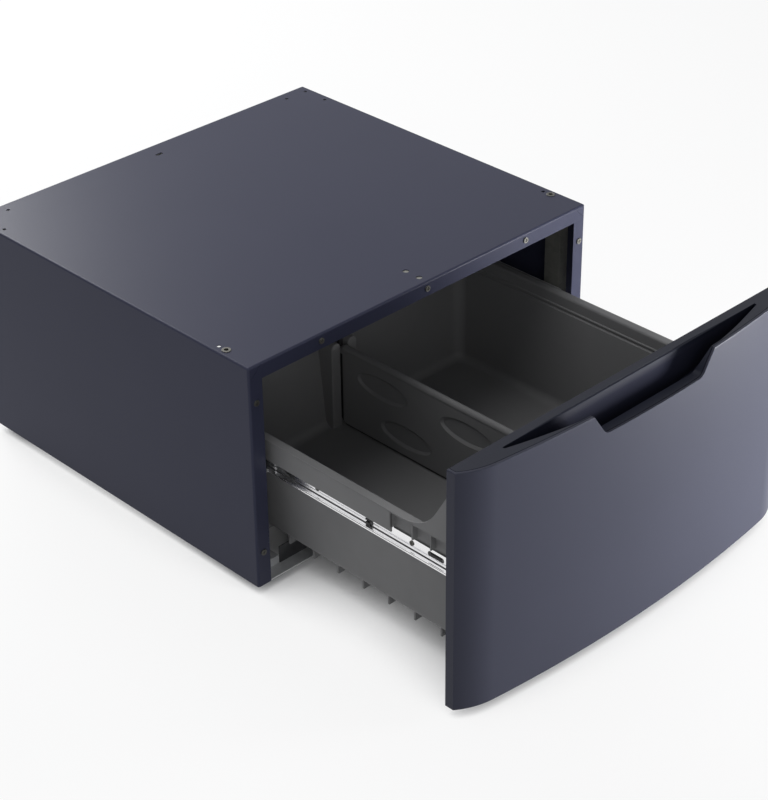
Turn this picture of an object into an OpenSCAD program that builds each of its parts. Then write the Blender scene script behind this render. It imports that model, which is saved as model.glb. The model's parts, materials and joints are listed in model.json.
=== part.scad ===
// Laundry pedestal with a storage drawer, drawn with its drawer pulled out.
// Millimetres. X runs to the right, Y to the back and Z up.
// The origin is on the floor, under the middle of the whole outline.

/* [Cabinet] */
// Width of the cabinet and of the drawer front
cab_w = 711; // [685:1:740]
// Depth of the cabinet, over the heads of its back screws
cab_d = 662; // [650:1:720]
// Height of the sheet cabinet without its feet
cab_h = 378; // [375:1:420]
// Thickness of the cabinet sheet
sheet_t = 1.2; // [0.8:0.1:1.5]
// Width of the flange around the drawer opening
flange_w = 25; // [20:0.5:28]
// Outer bend radius along the top edges
bend_r = 4; // [2:0.5:6]
// Width of the flange that holds the back panel
back_flange_w = 14; // [12:0.5:18]
// Gap that the feet leave under the cabinet
foot_gap = 15; // [13:1:22]

/* [Frame] */
// Thickness of the galvanised frame steel
frame_t = 1.5; // [1:0.1:2]
// Width of the rail strip along the cabinet's foot
base_w = 23.5; // [20:0.5:28]
// Height of the cross rails' upright web
base_h = 31; // [25:1:32]
// Height of the upright edge of the side rails
side_rail_h = 12; // [10:0.5:14]
// Depth of the rails under the deck, front to back
top_rail_w = 68; // [60:1:80]
// Height of the rails under the deck
top_rail_h = 22; // [18:1:24]
// Width of a corner post across the cabinet
post_w = 19.4; // [17:0.1:21]
// Width of a corner post front to back
post_d = 30.5; // [24:0.5:36]
// Distance from the cabinet's front to the front posts
post_y = 32.5; // [30:0.5:36]

/* [Feet] */
// Distance from the cabinet's side to a foot's axis
foot_x = 39.5; // [38:0.5:44]
// Distance from the cabinet's front or back to a foot's axis
foot_y = 56; // [52:0.5:60]
// Diameter of a foot's threaded rod
rod_d = 10; // [8:0.5:12]
// Length of a foot's threaded rod above its base
rod_len = 43; // [36:1:50]
// Diameter of the rubber pad
pad_d = 36; // [30:1:40]
// Height of the rubber pad
pad_h = 7; // [5:0.5:8]
// Diameter of the steel base of a foot
base_d = 30; // [26:1:32]
// Thickness of the steel base of a foot
base_t = 5; // [4:0.5:6]

/* [Drawer front] */
// Height of the drawer front
front_h = 390; // [385:1:400]
// Bottom of the drawer front above the cabinet's lower edge
front_z = 1; // [0:0.5:4]
// Depth of the drawer front at the middle of its bulge
front_t = 56.3; // [50:0.1:62]
// Plan radius of the bulge
bulge_r = 2400; // [2200:10:2800]
// Width of the corner curve on each side
corner_w = 55.5; // [50:0.5:62]
// Plan radius of the corner curve
corner_r = 115; // [105:1:125]
// Thickness of the painted skin
skin_t = 1; // [0.8:0.1:1.5]
// Width of the skin's rolled top edge
skin_edge_w = 4; // [3:0.5:5]
// Width of the skin's flange at the back
skin_flange_w = 13; // [10:0.5:16]
// Thickness of the back plate
plate_t = 1.5; // [1:0.1:2]
// Gap between the closed drawer front and the cabinet
front_gap = 3; // [2.6:0.1:4]
// How far the drawer is pulled out
open_travel = 381.7; // [340:0.1:384]

/* [Handle] */
// Distance from the side of the front to the end of the handle scoop
scoop_end = 83.5; // [75:0.5:95]
// Depth of the scoop below the top
scoop_depth = 66; // [50:1:75]
// Distance of the scoop's straight edge from the back of the front
scoop_back = 12.5; // [10:0.5:16]
// Plan radius of the scoop's front edge
scoop_r = 900; // [860:5:940]
// Width of the scoop at both of its tips
scoop_tip_w = 3; // [1.5:0.5:8]
// Wall of the handle moulding
cap_t = 2.6; // [2:0.1:3.2]
// Width of the notch at the top edge
notch_top_w = 256; // [240:1:270]
// Width of the notch at its lip
notch_low_w = 206; // [190:1:220]
// Depth of the notch
notch_depth = 37; // [30:0.5:42]

/* [Drawer bin] */
// Room between the cabinet's side and the bin's skirt
bin_side_room = 40; // [38:0.5:43]
// Width of the bin's rim, from its skirt to its moulded body
rim_w = 12.5; // [12.5:0.1:15]
// Outside length of the bin's body at its top
bin_len = 609; // [590:1:612]
// Height of the rim above the cabinet's lower edge
rim_z = 236; // [232:1:250]
// Underside of the bin floor above the cabinet's lower edge
floor_z = 43; // [40:1:50]
// Wall of the bin
bin_t = 3; // [2.4:0.1:3.5]
// How far each wall leans in towards the floor
bin_draft = 21; // [18:0.5:24]
// Radius of the bin's upright corners outside
bin_corner_r = 20; // [16:1:26]
// Radius between the walls and the floor outside
bin_floor_r = 18; // [14:1:22]
// Height of the skirt that hangs from the rim
skirt_h = 35; // [30:0.5:36]
// Thickness of the rim and the skirt
rim_t = 2.5; // [2:0.1:3]
// Top of the front wall above the cabinet's lower edge
bin_front_z = 345; // [330:1:348]
// Depth of the ribs under the floor
rib_h = 9; // [6:0.5:12]
// Distance between the ribs under the floor
rib_pitch = 52.9; // [40:0.1:60]

/* [Divider] */
// Thickness of the divider
div_t = 11; // [9:0.5:12]
// Top of the divider above the cabinet's lower edge
div_z = 193; // [170:1:196]
// Diameter of the bead along the divider's top
bead_d = 14; // [12:0.5:16]
// Length of a pressed oval
oval_len = 109; // [90:1:120]
// Height of a pressed oval
oval_h = 38; // [30:1:44]
// Depth of a pressed oval
oval_depth = 2; // [1:0.1:3]
// Distance between ovals in a row
oval_pitch = 182.5; // [160:0.5:190]
// Width of the guide posts beside the divider
guide_w = 20.6; // [14:0.1:24]
// Depth of the guide posts beside the divider
guide_d = 16; // [12:0.5:20]
// Top of the guide posts above the cabinet's lower edge
guide_z = 200.5; // [180:0.5:205]
// Gap between the divider and its guide posts
guide_gap = 1.3; // [0.6:0.1:2]

/* [Slides] */
// Length of each slide member
slide_len = 560; // [540:1:565]
// Height of the slide's axis above the cabinet's lower edge
slide_z = 188.5; // [186:0.5:189]
// Thickness of the whole slide
slide_t = 12.5; // [12.3:0.1:12.7]
// Gap between the bin's body at its top and the back of the slide
slide_back_gap = 3.5; // [3:0.1:3.6]
// Thickness of the slide's steel
slide_steel = 1.2; // [1:0.1:1.3]
// Height of the member on the drawer
inner_h = 24.4; // [22:0.1:25]
// Height of the member on the cabinet
outer_h = 37.4; // [36.5:0.1:38]
// Diameter of a ball
ball_d = 4.6; // [4.2:0.1:4.8]
// Distance between balls
ball_pitch = 14; // [10:0.5:20]
// Length of a ball cage
cage_len = 172; // [120:1:175]
// Thickness of a ball cage
cage_t = 0.8; // [0.6:0.1:1]
// Distance from the cabinet's front to the front end of its slide member
slide_y = 25; // [15:1:30]

/* [Hidden] */
$fn = 48;
navy = "#4a4c5a";
steel = "#9a9c9e";
zinc = "#d8d9da";
charcoal = "#46474a";
black = "#18181a";
cut = 1;
play = 0.3;

screw_r = 2.1;
screw_head_r = 4;
screw_head_h = 2;
screw_play = 0.05;
half_w = cab_w / 2;
bin_w = cab_w - 2 * bin_side_room;
bin_body_w = bin_w - 2 * rim_w;
corner_x = half_w - corner_w;
scoop_x = half_w - scoop_end;
wrap_d = cab_d - screw_head_h;
inner_x = half_w - sheet_t;
deck_under = cab_h - sheet_t;
front_reach = open_travel + front_gap + front_t;
middle_y = (cab_d - front_reach) / 2;

flange_screw_len = 9;
flange_screw_head_r = 4.8;
flange_screw_x = cab_w * 0.304;
flange_screw_z = cab_h - 12;
side_screw_x = half_w - flange_w / 2;
side_screw_high = cab_h - 61;
side_screw_low = 59;
back_screw_z = [cab_h * 0.18, cab_h * 0.5, cab_h * 0.82];
back_screw_x = [-cab_w * 0.31, 0, cab_w * 0.31];
back_screw_in = back_flange_w / 2;

deck_hole_r = 3;
deck_hole_x = half_w - 13.5;
deck_front_hole_y = 77;
deck_rear_hole_y = wrap_d - 72;
deck_ring_y = 61;
deck_ring_r = 4.5;
deck_ring_w = 2.5;
deck_ring_h = 1.2;
deck_slot_len = 14;
deck_edge_hole_y = wrap_d - 22;
deck_inner_hole_x = deck_hole_x - 44;
deck_rear_slot_y = wrap_d - 35;
deck_big_hole_r = 5;
deck_first_hole_y = 17.2;
deck_second_hole_y = 45.4;

top_rail_z = deck_under - frame_t;
rear_rail_gap = 10;
rail_hole_x = cab_w * 0.28;
rail_hole_r = 9;
bracket_z = side_rail_h;
bracket_w = 62;
bracket_t = 3;
nut_af = 17;
nut_h = 8;
nut_r = nut_af / 2 / cos(30);
rod_play = 0.3;
foot_low = -foot_gap;
base_low = foot_low + pad_h;
hex_h = 6;

slide_back_x = bin_body_w / 2 - slide_back_gap;
slide_web_x = slide_back_x + slide_steel;
cabinet_web_x = slide_back_x + slide_t;
ball_x = slide_back_x + 5.5;
cage_gap = 0.4;
inner_lip_x = cabinet_web_x - slide_steel - cage_t - 2 * cage_gap;
cage_web_x = cabinet_web_x - slide_steel - cage_gap;
race_gap = (outer_h - inner_h) / 2 - slide_steel;
ball_z = inner_h / 2 + race_gap / 2;
cage_end = 3;
cage_y = slide_y + open_travel / 2 + cage_end;
lip_curl_h = 4;
curl_in = 0.7;
support_h = 33;
support_x = inner_x - post_w;
support_drop = 6;
support_low = slide_z - support_h / 2 - support_drop;
support_lip_h = 24;
support_front = slide_y;
support_back = wrap_d - sheet_t - post_y;
support_screw_y = [post_y + post_d / 2, wrap_d - sheet_t - post_y - post_d / 2];
slide_screw_y = [slide_y + slide_len * 0.16, slide_y + slide_len * 0.5, slide_y + slide_len * 0.88];
cabinet_screw_y = [slide_y + slide_len * 0.04, slide_y + slide_len * 0.5, slide_y + slide_len * 0.95];
bin_front_y = -front_gap;
bin_back_y = bin_front_y + bin_len;
slot_in = 43;
slot_y = slide_y + slot_in;
slot_len = 31;
slot_h = 8;
lever_t = 2.4;
lever_len = 25;
clip_in = 170;
clip_y = slide_y + clip_in;
clip_len = 7;
clip_w = 5;
clip_ear = 3;
boss_r = 8;

floor_top = floor_z + bin_t;
recess_y = 140.9;
recess_in = 9.5;
recess_low = rim_z - 24;
first_gusset_y = 65;
second_gusset_y = 100.2;
gusset_t = 2.5;
sweep_r = 70;
sweep_angle = 60;
sweep_y = 77.5;
band_h = 20;
groove_h = 5;
groove_d = 1.5;
rib_in = 12;
rib_middle_y = bin_len * 0.39;
oval_high = 149.5;
oval_low = 84;
oval_rear = 130.3;
oval_stagger = 52;
guide_x = div_t / 2 + guide_gap;
guide_front_y = bin_front_y + bin_t + bin_draft + guide_d;
guide_back_y = bin_back_y - bin_t - bin_draft - guide_d;
front_screw_x = cab_w * 0.35;
front_screw_high = bin_front_z - 20;
front_screw_low = rim_z + 14;
front_screw_spots = [for (x = [-front_screw_x, 0, front_screw_x], z = [front_screw_low, front_screw_high])
    [x, z]];
screw_tail = 4;
flat_head_h = 1.6;

front_low = front_z;
front_top = front_z + front_h;
corner_tilt = asin(corner_x / bulge_r);
corner_v = front_t - bulge_r + sqrt(bulge_r * bulge_r - corner_x * corner_x);
scoop_low = front_top - scoop_depth;
scoop_bowl_r = (scoop_x * scoop_x + scoop_depth * scoop_depth) / (2 * scoop_depth);
scoop_front_v = scoop_back + scoop_tip_w + scoop_r - sqrt(scoop_r * scoop_r - scoop_x * scoop_x);
notch_low = front_top - notch_depth;
cap_rim_h = 14;

// Mirrors its children to the left for a side of -1
module side(s) {
    if (s < 0) mirror([1, 0, 0]) children();
    else children();
}

// Moves from the cabinet's front lower edge to the part's own origin
module placed() {
    translate([0, -middle_y, foot_gap]) children();
}

// The same for what moves with the open drawer
module in_drawer() {
    placed() translate([0, -open_travel, 0]) children();
}

module plate(x0, x1, y0, y1, z0, z1) {
    translate([x0, y0, z0]) cube([x1 - x0, y1 - y0, z1 - z0]);
}

// A rod along X between two places
module rod_x(x0, x1, r) {
    translate([x0, 0, 0]) rotate([0, 90, 0]) cylinder(r = r, h = x1 - x0);
}

// A rod along Y between two places
module rod_y(y0, y1, r) {
    translate([0, y1, 0]) rotate([90, 0, 0]) cylinder(r = r, h = y1 - y0);
}

// A cross-recessed screw whose head stands up from Z = 0
module screw(len, r = screw_r, head_r = screw_head_r, head_h = screw_head_h) {
    recess_w = head_r * 0.28;
    difference() {
        union() {
            cylinder(r = head_r, h = head_h);
            translate([0, 0, -len]) cylinder(r = r, h = len + head_h / 2);
        }
        for (a = [0, 90]) rotate(a)
            translate([-head_r * 0.6, -recess_w / 2, head_h / 2]) cube([head_r * 1.2, recess_w, head_h]);
    }
}

module screw_hole(len, r = screw_r + screw_play) {
    translate([0, 0, -len]) cylinder(r = r, h = 2 * len);
}

module hex_nut(bore) {
    difference() {
        cylinder(r = nut_r, h = nut_h, $fn = 6);
        translate([0, 0, -cut]) cylinder(r = bore, h = nut_h + 2 * cut);
    }
}

// Outline of the cabinet across X and Z, its top corners rounded
module wrap_outline(inset) {
    r = max(bend_r - inset, 0.4);
    w = half_w - inset;
    top = cab_h - inset;
    low = inset > 0 ? -cut : 0;
    translate([-w, low]) square([2 * w, top - r - low]);
    translate([-w + r, low]) square([2 * (w - r), top - low]);
    for (s = [-1, 1]) translate([s * (w - r), top - r]) circle(r = r);
}

// Extrudes an outline drawn across X and Z from y0 to y1
module along_y(y0, y1) {
    translate([0, y1, 0]) rotate([90, 0, 0]) linear_extrude(y1 - y0) children();
}

// Extrudes an outline drawn across Y and Z from x0 to x1
module along_x(x0, x1) {
    translate([x0, 0, 0]) rotate([90, 0, 90]) linear_extrude(x1 - x0) children();
}

module at_flange_screws() {
    for (x = [-flange_screw_x, 0, flange_screw_x])
        translate([x, 0, flange_screw_z]) rotate([90, 0, 0]) children();
    for (s = [-1, 1], z = [side_screw_low, side_screw_high])
        translate([s * side_screw_x, 0, z]) rotate([90, 0, 0]) children();
}

module at_back_screws() {
    for (s = [-1, 1], z = back_screw_z)
        translate([s * (half_w - back_screw_in), wrap_d, z]) rotate([-90, 0, 0]) children();
    for (x = back_screw_x)
        translate([x, wrap_d, cab_h - back_screw_in]) rotate([-90, 0, 0]) children();
}

// A slot along X that cuts down through Z = 0
module deck_slot(depth) {
    for (s = [-1, 1]) translate([s * (deck_slot_len / 2 - deck_hole_r), 0, -depth])
        cylinder(r = deck_hole_r, h = 2 * depth);
    translate([-deck_slot_len / 2 + deck_hole_r, -deck_hole_r, -depth])
        cube([deck_slot_len - 2 * deck_hole_r, 2 * deck_hole_r, 2 * depth]);
}

module deck_holes(depth) {
    translate([0, 0, cab_h]) {
        for (s = [-1, 1]) {
            for (y = [deck_front_hole_y, deck_rear_hole_y, deck_edge_hole_y])
                translate([s * deck_hole_x, y, -depth]) cylinder(r = deck_hole_r, h = 2 * depth);
            translate([s * deck_inner_hole_x, deck_edge_hole_y, -depth])
                cylinder(r = deck_hole_r, h = 2 * depth);
            translate([s * deck_hole_x, deck_ring_y, -depth]) cylinder(r = deck_ring_r, h = 2 * depth);
        }
        translate([0, deck_rear_slot_y, 0]) deck_slot(depth);
    }
}

// Top, both sides, the front flange and the back flange of one painted sheet
module cabinet_wrap() {
    color(navy) placed() difference() {
        union() {
            along_y(0, wrap_d) difference() {
                wrap_outline(0);
                wrap_outline(sheet_t);
            }
            along_y(0, sheet_t) difference() {
                wrap_outline(0);
                translate([-half_w + flange_w, -cut])
                    square([cab_w - 2 * flange_w, cab_h - flange_w + cut]);
            }
            along_y(wrap_d - sheet_t, wrap_d) difference() {
                wrap_outline(0);
                translate([-half_w + back_flange_w, -cut])
                    square([cab_w - 2 * back_flange_w, cab_h - back_flange_w + cut]);
            }
            for (s = [-1, 1]) translate([s * deck_hole_x, deck_ring_y, deck_under])
                cylinder(r = deck_ring_r + deck_ring_w, h = sheet_t + deck_ring_h);
        }
        deck_holes(bend_r);
        translate([0, 0, cab_h - bend_r]) for (y = [deck_first_hole_y, deck_second_hole_y])
            translate([0, y, 0]) cylinder(r = deck_big_hole_r, h = 2 * bend_r);
        at_flange_screws() screw_hole(3 * sheet_t);
        at_back_screws() screw_hole(1.5 * sheet_t);
    }
}

// The back panel lies against the back flange and has a pressed field
module back_panel() {
    panel_y = wrap_d - 2 * sheet_t;
    field_in = 60;
    field_d = 6;
    x = inner_x - play;
    top = deck_under - play;
    color(navy) placed() difference() {
        union() {
            plate(-x, x, panel_y, panel_y + sheet_t, 0, top);
            plate(-x + field_in, x - field_in, panel_y - field_d, panel_y, field_in, top - field_in);
        }
        plate(-x + field_in + sheet_t, x - field_in - sheet_t, panel_y - field_d + sheet_t,
            panel_y + 2 * sheet_t, field_in + sheet_t, top - field_in - sheet_t);
        at_back_screws() screw_hole(6 * sheet_t);
    }
}

// A cross rail at the foot: a flat strip with an upright web behind it
module base_rail() {
    plate(-inner_x, inner_x, sheet_t, sheet_t + base_w, 0, frame_t);
    difference() {
        plate(-inner_x + bracket_w, inner_x - bracket_w, sheet_t + base_w - frame_t,
            sheet_t + base_w, 0, base_h);
        for (x = [-rail_hole_x, 0, rail_hole_x]) translate([x, 0, base_h / 2])
            rod_y(0, 2 * base_w, rail_hole_r);
    }
}

module front_base_rail() {
    color(steel) placed() base_rail();
}

module rear_base_rail() {
    color(steel) placed() translate([0, wrap_d - sheet_t, 0]) mirror([0, 1, 0]) base_rail();
}

// A side rail joins the cross rails and carries the foot brackets
module side_base_rail(s) {
    y0 = sheet_t + base_w;
    y1 = wrap_d - 2 * sheet_t - base_w;
    color(steel) placed() side(s) {
        plate(inner_x - base_w, inner_x, y0, y1, 0, frame_t);
        plate(inner_x - frame_t, inner_x, y0, y1, frame_t, side_rail_h);
    }
}

module left_base_rail() side_base_rail(-1);
module right_base_rail() side_base_rail(1);

// A channel under the deck
module top_rail_shape() {
    plate(-inner_x + bend_r, inner_x - bend_r, 0, top_rail_w, top_rail_z, deck_under);
    for (y = [0, top_rail_w - frame_t])
        plate(-inner_x, inner_x, y, y + frame_t, deck_under - top_rail_h, top_rail_z - bend_r);
    for (y = [0, top_rail_w - frame_t])
        plate(-inner_x + bend_r, inner_x - bend_r, y, y + frame_t, top_rail_z - bend_r, top_rail_z);
}

module front_top_rail() {
    color(steel) placed() difference() {
        translate([0, sheet_t, 0]) top_rail_shape();
        deck_holes(2 * bend_r);
        at_flange_screws() screw_hole(3 * sheet_t);
    }
}

module rear_top_rail() {
    color(steel) placed() difference() {
        translate([0, wrap_d - 2 * sheet_t - top_rail_w - rear_rail_gap, 0]) top_rail_shape();
        deck_holes(2 * bend_r);
    }
}

// A corner post, a channel whose web faces the drawer
module post() {
    x0 = inner_x - post_w;
    z1 = deck_under - top_rail_h;
    z0 = bracket_z + bracket_t;
    plate(x0, x0 + frame_t, 0, post_d, z0, top_rail_z);
    for (y = [0, post_d - frame_t]) {
        plate(x0, inner_x, y, y + frame_t, z0, z1);
        plate(x0, inner_x - bend_r, y, y + frame_t, z1, top_rail_z);
    }
}

module corner_post(s, rear) {
    color(steel) placed() difference() {
        side(s) translate([0, rear ? wrap_d - sheet_t - post_y - post_d : post_y, 0]) post();
        side(s) at_support_screws() screw_hole(2 * frame_t);
    }
}

module left_front_post() corner_post(-1, false);
module right_front_post() corner_post(1, false);
module left_rear_post() corner_post(-1, true);
module right_rear_post() corner_post(1, true);

module at_support_screws() {
    for (y = support_screw_y, z = [support_low - support_lip_h / 2,
            support_low + support_h + support_lip_h / 2])
        translate([support_x - frame_t, y, z]) rotate([0, -90, 0]) children();
}

module at_cabinet_slide_screws() {
    for (y = cabinet_screw_y)
        translate([cabinet_web_x + frame_t, y, slide_z]) rotate([0, 90, 0]) children();
}

// A hat rail that stands the slide off the posts
module slide_support(s) {
    x0 = cabinet_web_x;
    x1 = support_x;
    z0 = support_low;
    z1 = support_low + support_h;
    color(steel) placed() side(s) difference() {
        union() {
            plate(x0, x0 + frame_t, support_front, support_back, z0, z1);
            for (z = [z0, z1 - frame_t]) plate(x0, x1, support_front, support_back, z, z + frame_t);
            plate(x1 - frame_t, x1, support_front, support_back, z1 - frame_t, z1 + support_lip_h);
            plate(x1 - frame_t, x1, support_front, support_back, z0 - support_lip_h, z0 + frame_t);
        }
        at_support_screws() screw_hole(3 * frame_t);
        at_cabinet_slide_screws() screw_hole(2 * slide_t);
    }
}

module left_slide_support() slide_support(-1);
module right_slide_support() slide_support(1);

module at_feet() {
    for (s = [-1, 1], y = [foot_y, wrap_d - foot_y]) translate([s * (half_w - foot_x), y, 0]) children();
}

// A plate in each corner, on the side rail and the cross rail
module foot_brackets() {
    color(steel) placed() difference() {
        for (s = [-1, 1]) side(s) for (rear = [0, 1])
            translate([0, rear * (wrap_d - sheet_t), 0]) mirror([0, rear, 0]) {
                plate(inner_x - bracket_w, inner_x, sheet_t + base_w, sheet_t + base_w + bracket_w,
                    bracket_z, bracket_z + bracket_t);
                plate(inner_x - bracket_w, inner_x - base_w, sheet_t + base_w,
                    sheet_t + base_w + bracket_t, frame_t, bracket_z);
            }
        at_feet() cylinder(r = rod_d / 2 + 0.5, h = 3 * bracket_z);
    }
}

module foot_weld_nuts() {
    color(steel) placed() at_feet() translate([0, 0, bracket_z + bracket_t])
        hex_nut(rod_d / 2 + rod_play);
}

module foot_lock_nuts() {
    color(zinc) placed() at_feet() translate([0, 0, bracket_z - nut_h])
        hex_nut(rod_d / 2 + rod_play);
}

// One levelling foot: a round base, a hexagon for the spanner and a rod
module foot(s, rear) {
    color(zinc) placed() side(s)
        translate([half_w - foot_x, rear ? wrap_d - foot_y : foot_y, base_low]) {
            cylinder(r = base_d / 2, h = base_t);
            translate([0, 0, base_t]) cylinder(r = nut_r, h = hex_h, $fn = 6);
            translate([0, 0, base_t]) cylinder(r = rod_d / 2, h = rod_len);
        }
}

module front_left_foot() foot(-1, false);
module front_right_foot() foot(1, false);
module rear_left_foot() foot(-1, true);
module rear_right_foot() foot(1, true);

module pad(s, rear) {
    lip = 2;
    color(black) placed() side(s)
        translate([half_w - foot_x, rear ? wrap_d - foot_y : foot_y, foot_low]) difference() {
            cylinder(r = pad_d / 2, h = pad_h + lip);
            translate([0, 0, pad_h]) cylinder(r = base_d / 2, h = 2 * lip);
        }
}

module front_left_pad() pad(-1, false);
module front_right_pad() pad(1, false);
module rear_left_pad() pad(-1, true);
module rear_right_pad() pad(1, true);

module flange_screws() {
    color(zinc) placed() at_flange_screws() screw(flange_screw_len, head_r = flange_screw_head_r);
}

module back_screws() {
    color(zinc) placed() at_back_screws() screw(5);
}

module support_screws() {
    color(zinc) placed() for (s = [-1, 1]) side(s) {
        at_support_screws() screw(2 * frame_t + screw_tail);
        at_cabinet_slide_screws() screw(slide_steel + frame_t);
    }
}

// A slide member seen from its end: a web with two lips
module slide_channel(h, web_x, lip_x) {
    x0 = min(web_x, lip_x);
    x1 = max(web_x, lip_x);
    web = web_x < lip_x ? web_x : web_x - slide_steel;
    plate(web, web + slide_steel, slide_y, slide_y + slide_len, slide_z - h / 2, slide_z + h / 2);
    for (z = [slide_z - h / 2, slide_z + h / 2 - slide_steel])
        plate(x0, x1, slide_y, slide_y + slide_len, z, z + slide_steel);
}

module cabinet_slide(s) {
    color(zinc) placed() side(s) difference() {
        slide_channel(outer_h, cabinet_web_x, slide_web_x + cage_gap);
        at_cabinet_slide_screws() screw_hole(4);
    }
}

module left_cabinet_slide() cabinet_slide(-1);
module right_cabinet_slide() cabinet_slide(1);

// The member on the drawer, with curled lip ends and the lever's slot
module drawer_slide(s) {
    color(zinc) in_drawer() side(s) difference() {
        union() {
            slide_channel(inner_h, slide_back_x, inner_lip_x);
            for (m = [-1, 1]) translate([inner_lip_x - slide_steel, slide_y,
                    slide_z + m * (inner_h / 2 - curl_in) - lip_curl_h / 2])
                cube([slide_steel, slide_len, lip_curl_h]);
        }
        translate([0, slot_y, slide_z]) for (m = [-1, 1])
            translate([0, m * (slot_len - slot_h) / 2, 0])
                rod_x(slide_back_x - cut, slide_web_x + cut, slot_h / 2);
        plate(slide_back_x - cut, slide_web_x + cut, slot_y - (slot_len - slot_h) / 2,
            slot_y + (slot_len - slot_h) / 2, slide_z - slot_h / 2, slide_z + slot_h / 2);
        at_drawer_slide_screws() screw_hole(4);
    }
}

module left_drawer_slide() drawer_slide(-1);
module right_drawer_slide() drawer_slide(1);

module at_drawer_slide_screws() {
    for (y = slide_screw_y) translate([slide_web_x, y, slide_z]) rotate([0, 90, 0]) children();
}

// Balls run in two rows, above and below the member on the drawer
module at_balls() {
    count = floor((cage_len - ball_pitch) / ball_pitch);
    start = cage_y + (cage_len - (count - 1) * ball_pitch) / 2;
    for (i = [0 : count - 1], m = [-1, 1])
        translate([ball_x, start + i * ball_pitch - open_travel / 2, slide_z + m * ball_z]) children();
}

module ball_cage(s) {
    y0 = cage_y - open_travel / 2;
    reach = ball_z + cage_t / 2;
    color(steel) placed() side(s) difference() {
        union() {
            plate(cage_web_x - cage_t, cage_web_x, y0, y0 + cage_len, slide_z - reach, slide_z + reach);
            for (m = [-1, 1]) plate(ball_x - ball_d / 2 - cage_t, cage_web_x, y0, y0 + cage_len,
                slide_z + m * ball_z - cage_t / 2, slide_z + m * ball_z + cage_t / 2);
        }
        at_balls() cylinder(r = ball_d / 2 + 0.15, h = 2 * ball_d, center = true);
    }
}

module left_ball_cage() ball_cage(-1);
module right_ball_cage() ball_cage(1);

module balls(s) {
    color(zinc) placed() side(s) at_balls() sphere(r = ball_d / 2, $fn = 24);
}

module left_balls() balls(-1);
module right_balls() balls(1);

// Black clip in the foot of the drawer's member, which stops the cage
module slide_clip(s) {
    z0 = slide_z - inner_h / 2 + slide_steel;
    color(black) in_drawer() side(s) {
        plate(slide_web_x, slide_web_x + clip_w, clip_y, clip_y + clip_len, z0, z0 + clip_len);
        plate(slide_web_x, slide_web_x + clip_w / 2, clip_y - clip_ear, clip_y + clip_len + clip_ear,
            z0 + clip_len, z0 + clip_len + clip_ear);
    }
}

module left_slide_clip() slide_clip(-1);
module right_slide_clip() slide_clip(1);

// Thin lever that lies in the slot of the drawer's member
module release_lever(s) {
    pivot = slot_y + slot_len / 2 - slot_h / 2;
    color(black) in_drawer() side(s) translate([0, 0, slide_z]) {
        translate([0, pivot, 0]) rod_x(slide_back_x + play, slide_web_x + 1.5, slot_h / 2 - play);
        plate(slide_back_x + play, slide_web_x + 1, pivot - lever_len + slot_h / 2, pivot, -lever_t / 2,
            lever_t / 2);
    }
}

module left_release_lever() release_lever(-1);
module right_release_lever() release_lever(1);

module slide_screws() {
    color(zinc) in_drawer() for (s = [-1, 1]) side(s)
        at_drawer_slide_screws() screw(slide_steel + bin_t, head_h = flat_head_h);
}

module rounded_outline(x, y0, y1, r) {
    translate([-x, y0 + r]) square([2 * x, y1 - y0 - 2 * r]);
    translate([-x + r, y0]) square([2 * (x - r), y1 - y0]);
    for (s = [-1, 1], y = [y0 + r, y1 - r]) translate([s * (x - r), y]) circle(r = r);
}

// The bin's body, its walls leaning in towards a rounded floor
module bin_form(inset, low, top) {
    x = bin_body_w / 2 - inset;
    y0 = bin_front_y + inset;
    y1 = bin_back_y - inset;
    r = bin_corner_r - inset;
    fr = bin_floor_r - inset;
    hull() {
        for (s = [-1, 1], y = [y0 + r, y1 - r])
            translate([s * (x - r), y, top]) cylinder(r = r, h = 0.01, $fn = 32);
        for (s = [-1, 1], y = [y0 + bin_draft + fr, y1 - bin_draft - fr])
            translate([s * (x - bin_draft - fr), y, low + fr]) sphere(r = fr, $fn = 32);
    }
}

// Side outline of the rim's rise to the front wall, drawn across Y and Z
module sweep_outline(low, thick) {
    run = (bin_front_z - rim_z) / tan(sweep_angle);
    foot = sweep_y - run - thick;
    tangent = sweep_r * tan(sweep_angle / 2);
    difference() {
        polygon([[bin_front_y, low], [sweep_y + tangent, low], [sweep_y + tangent, rim_z],
            [sweep_y, rim_z], [sweep_y - run, bin_front_z], [bin_front_y, bin_front_z]]);
        if (thick > 0) polygon([[bin_front_y + thick, low - cut], [sweep_y + 3 * tangent, low - cut],
            [sweep_y + 3 * tangent, rim_z - thick], [sweep_y, rim_z - thick],
            [foot, bin_front_z - thick], [bin_front_y + thick, bin_front_z - thick]]);
    }
    if (thick == 0) difference() {
        polygon([[sweep_y, rim_z], [sweep_y + tangent, rim_z],
            [sweep_y - tangent * cos(sweep_angle), rim_z + tangent * sin(sweep_angle)]]);
        translate([sweep_y + tangent, rim_z + sweep_r]) circle(r = sweep_r, $fn = 96);
    }
}

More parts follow.
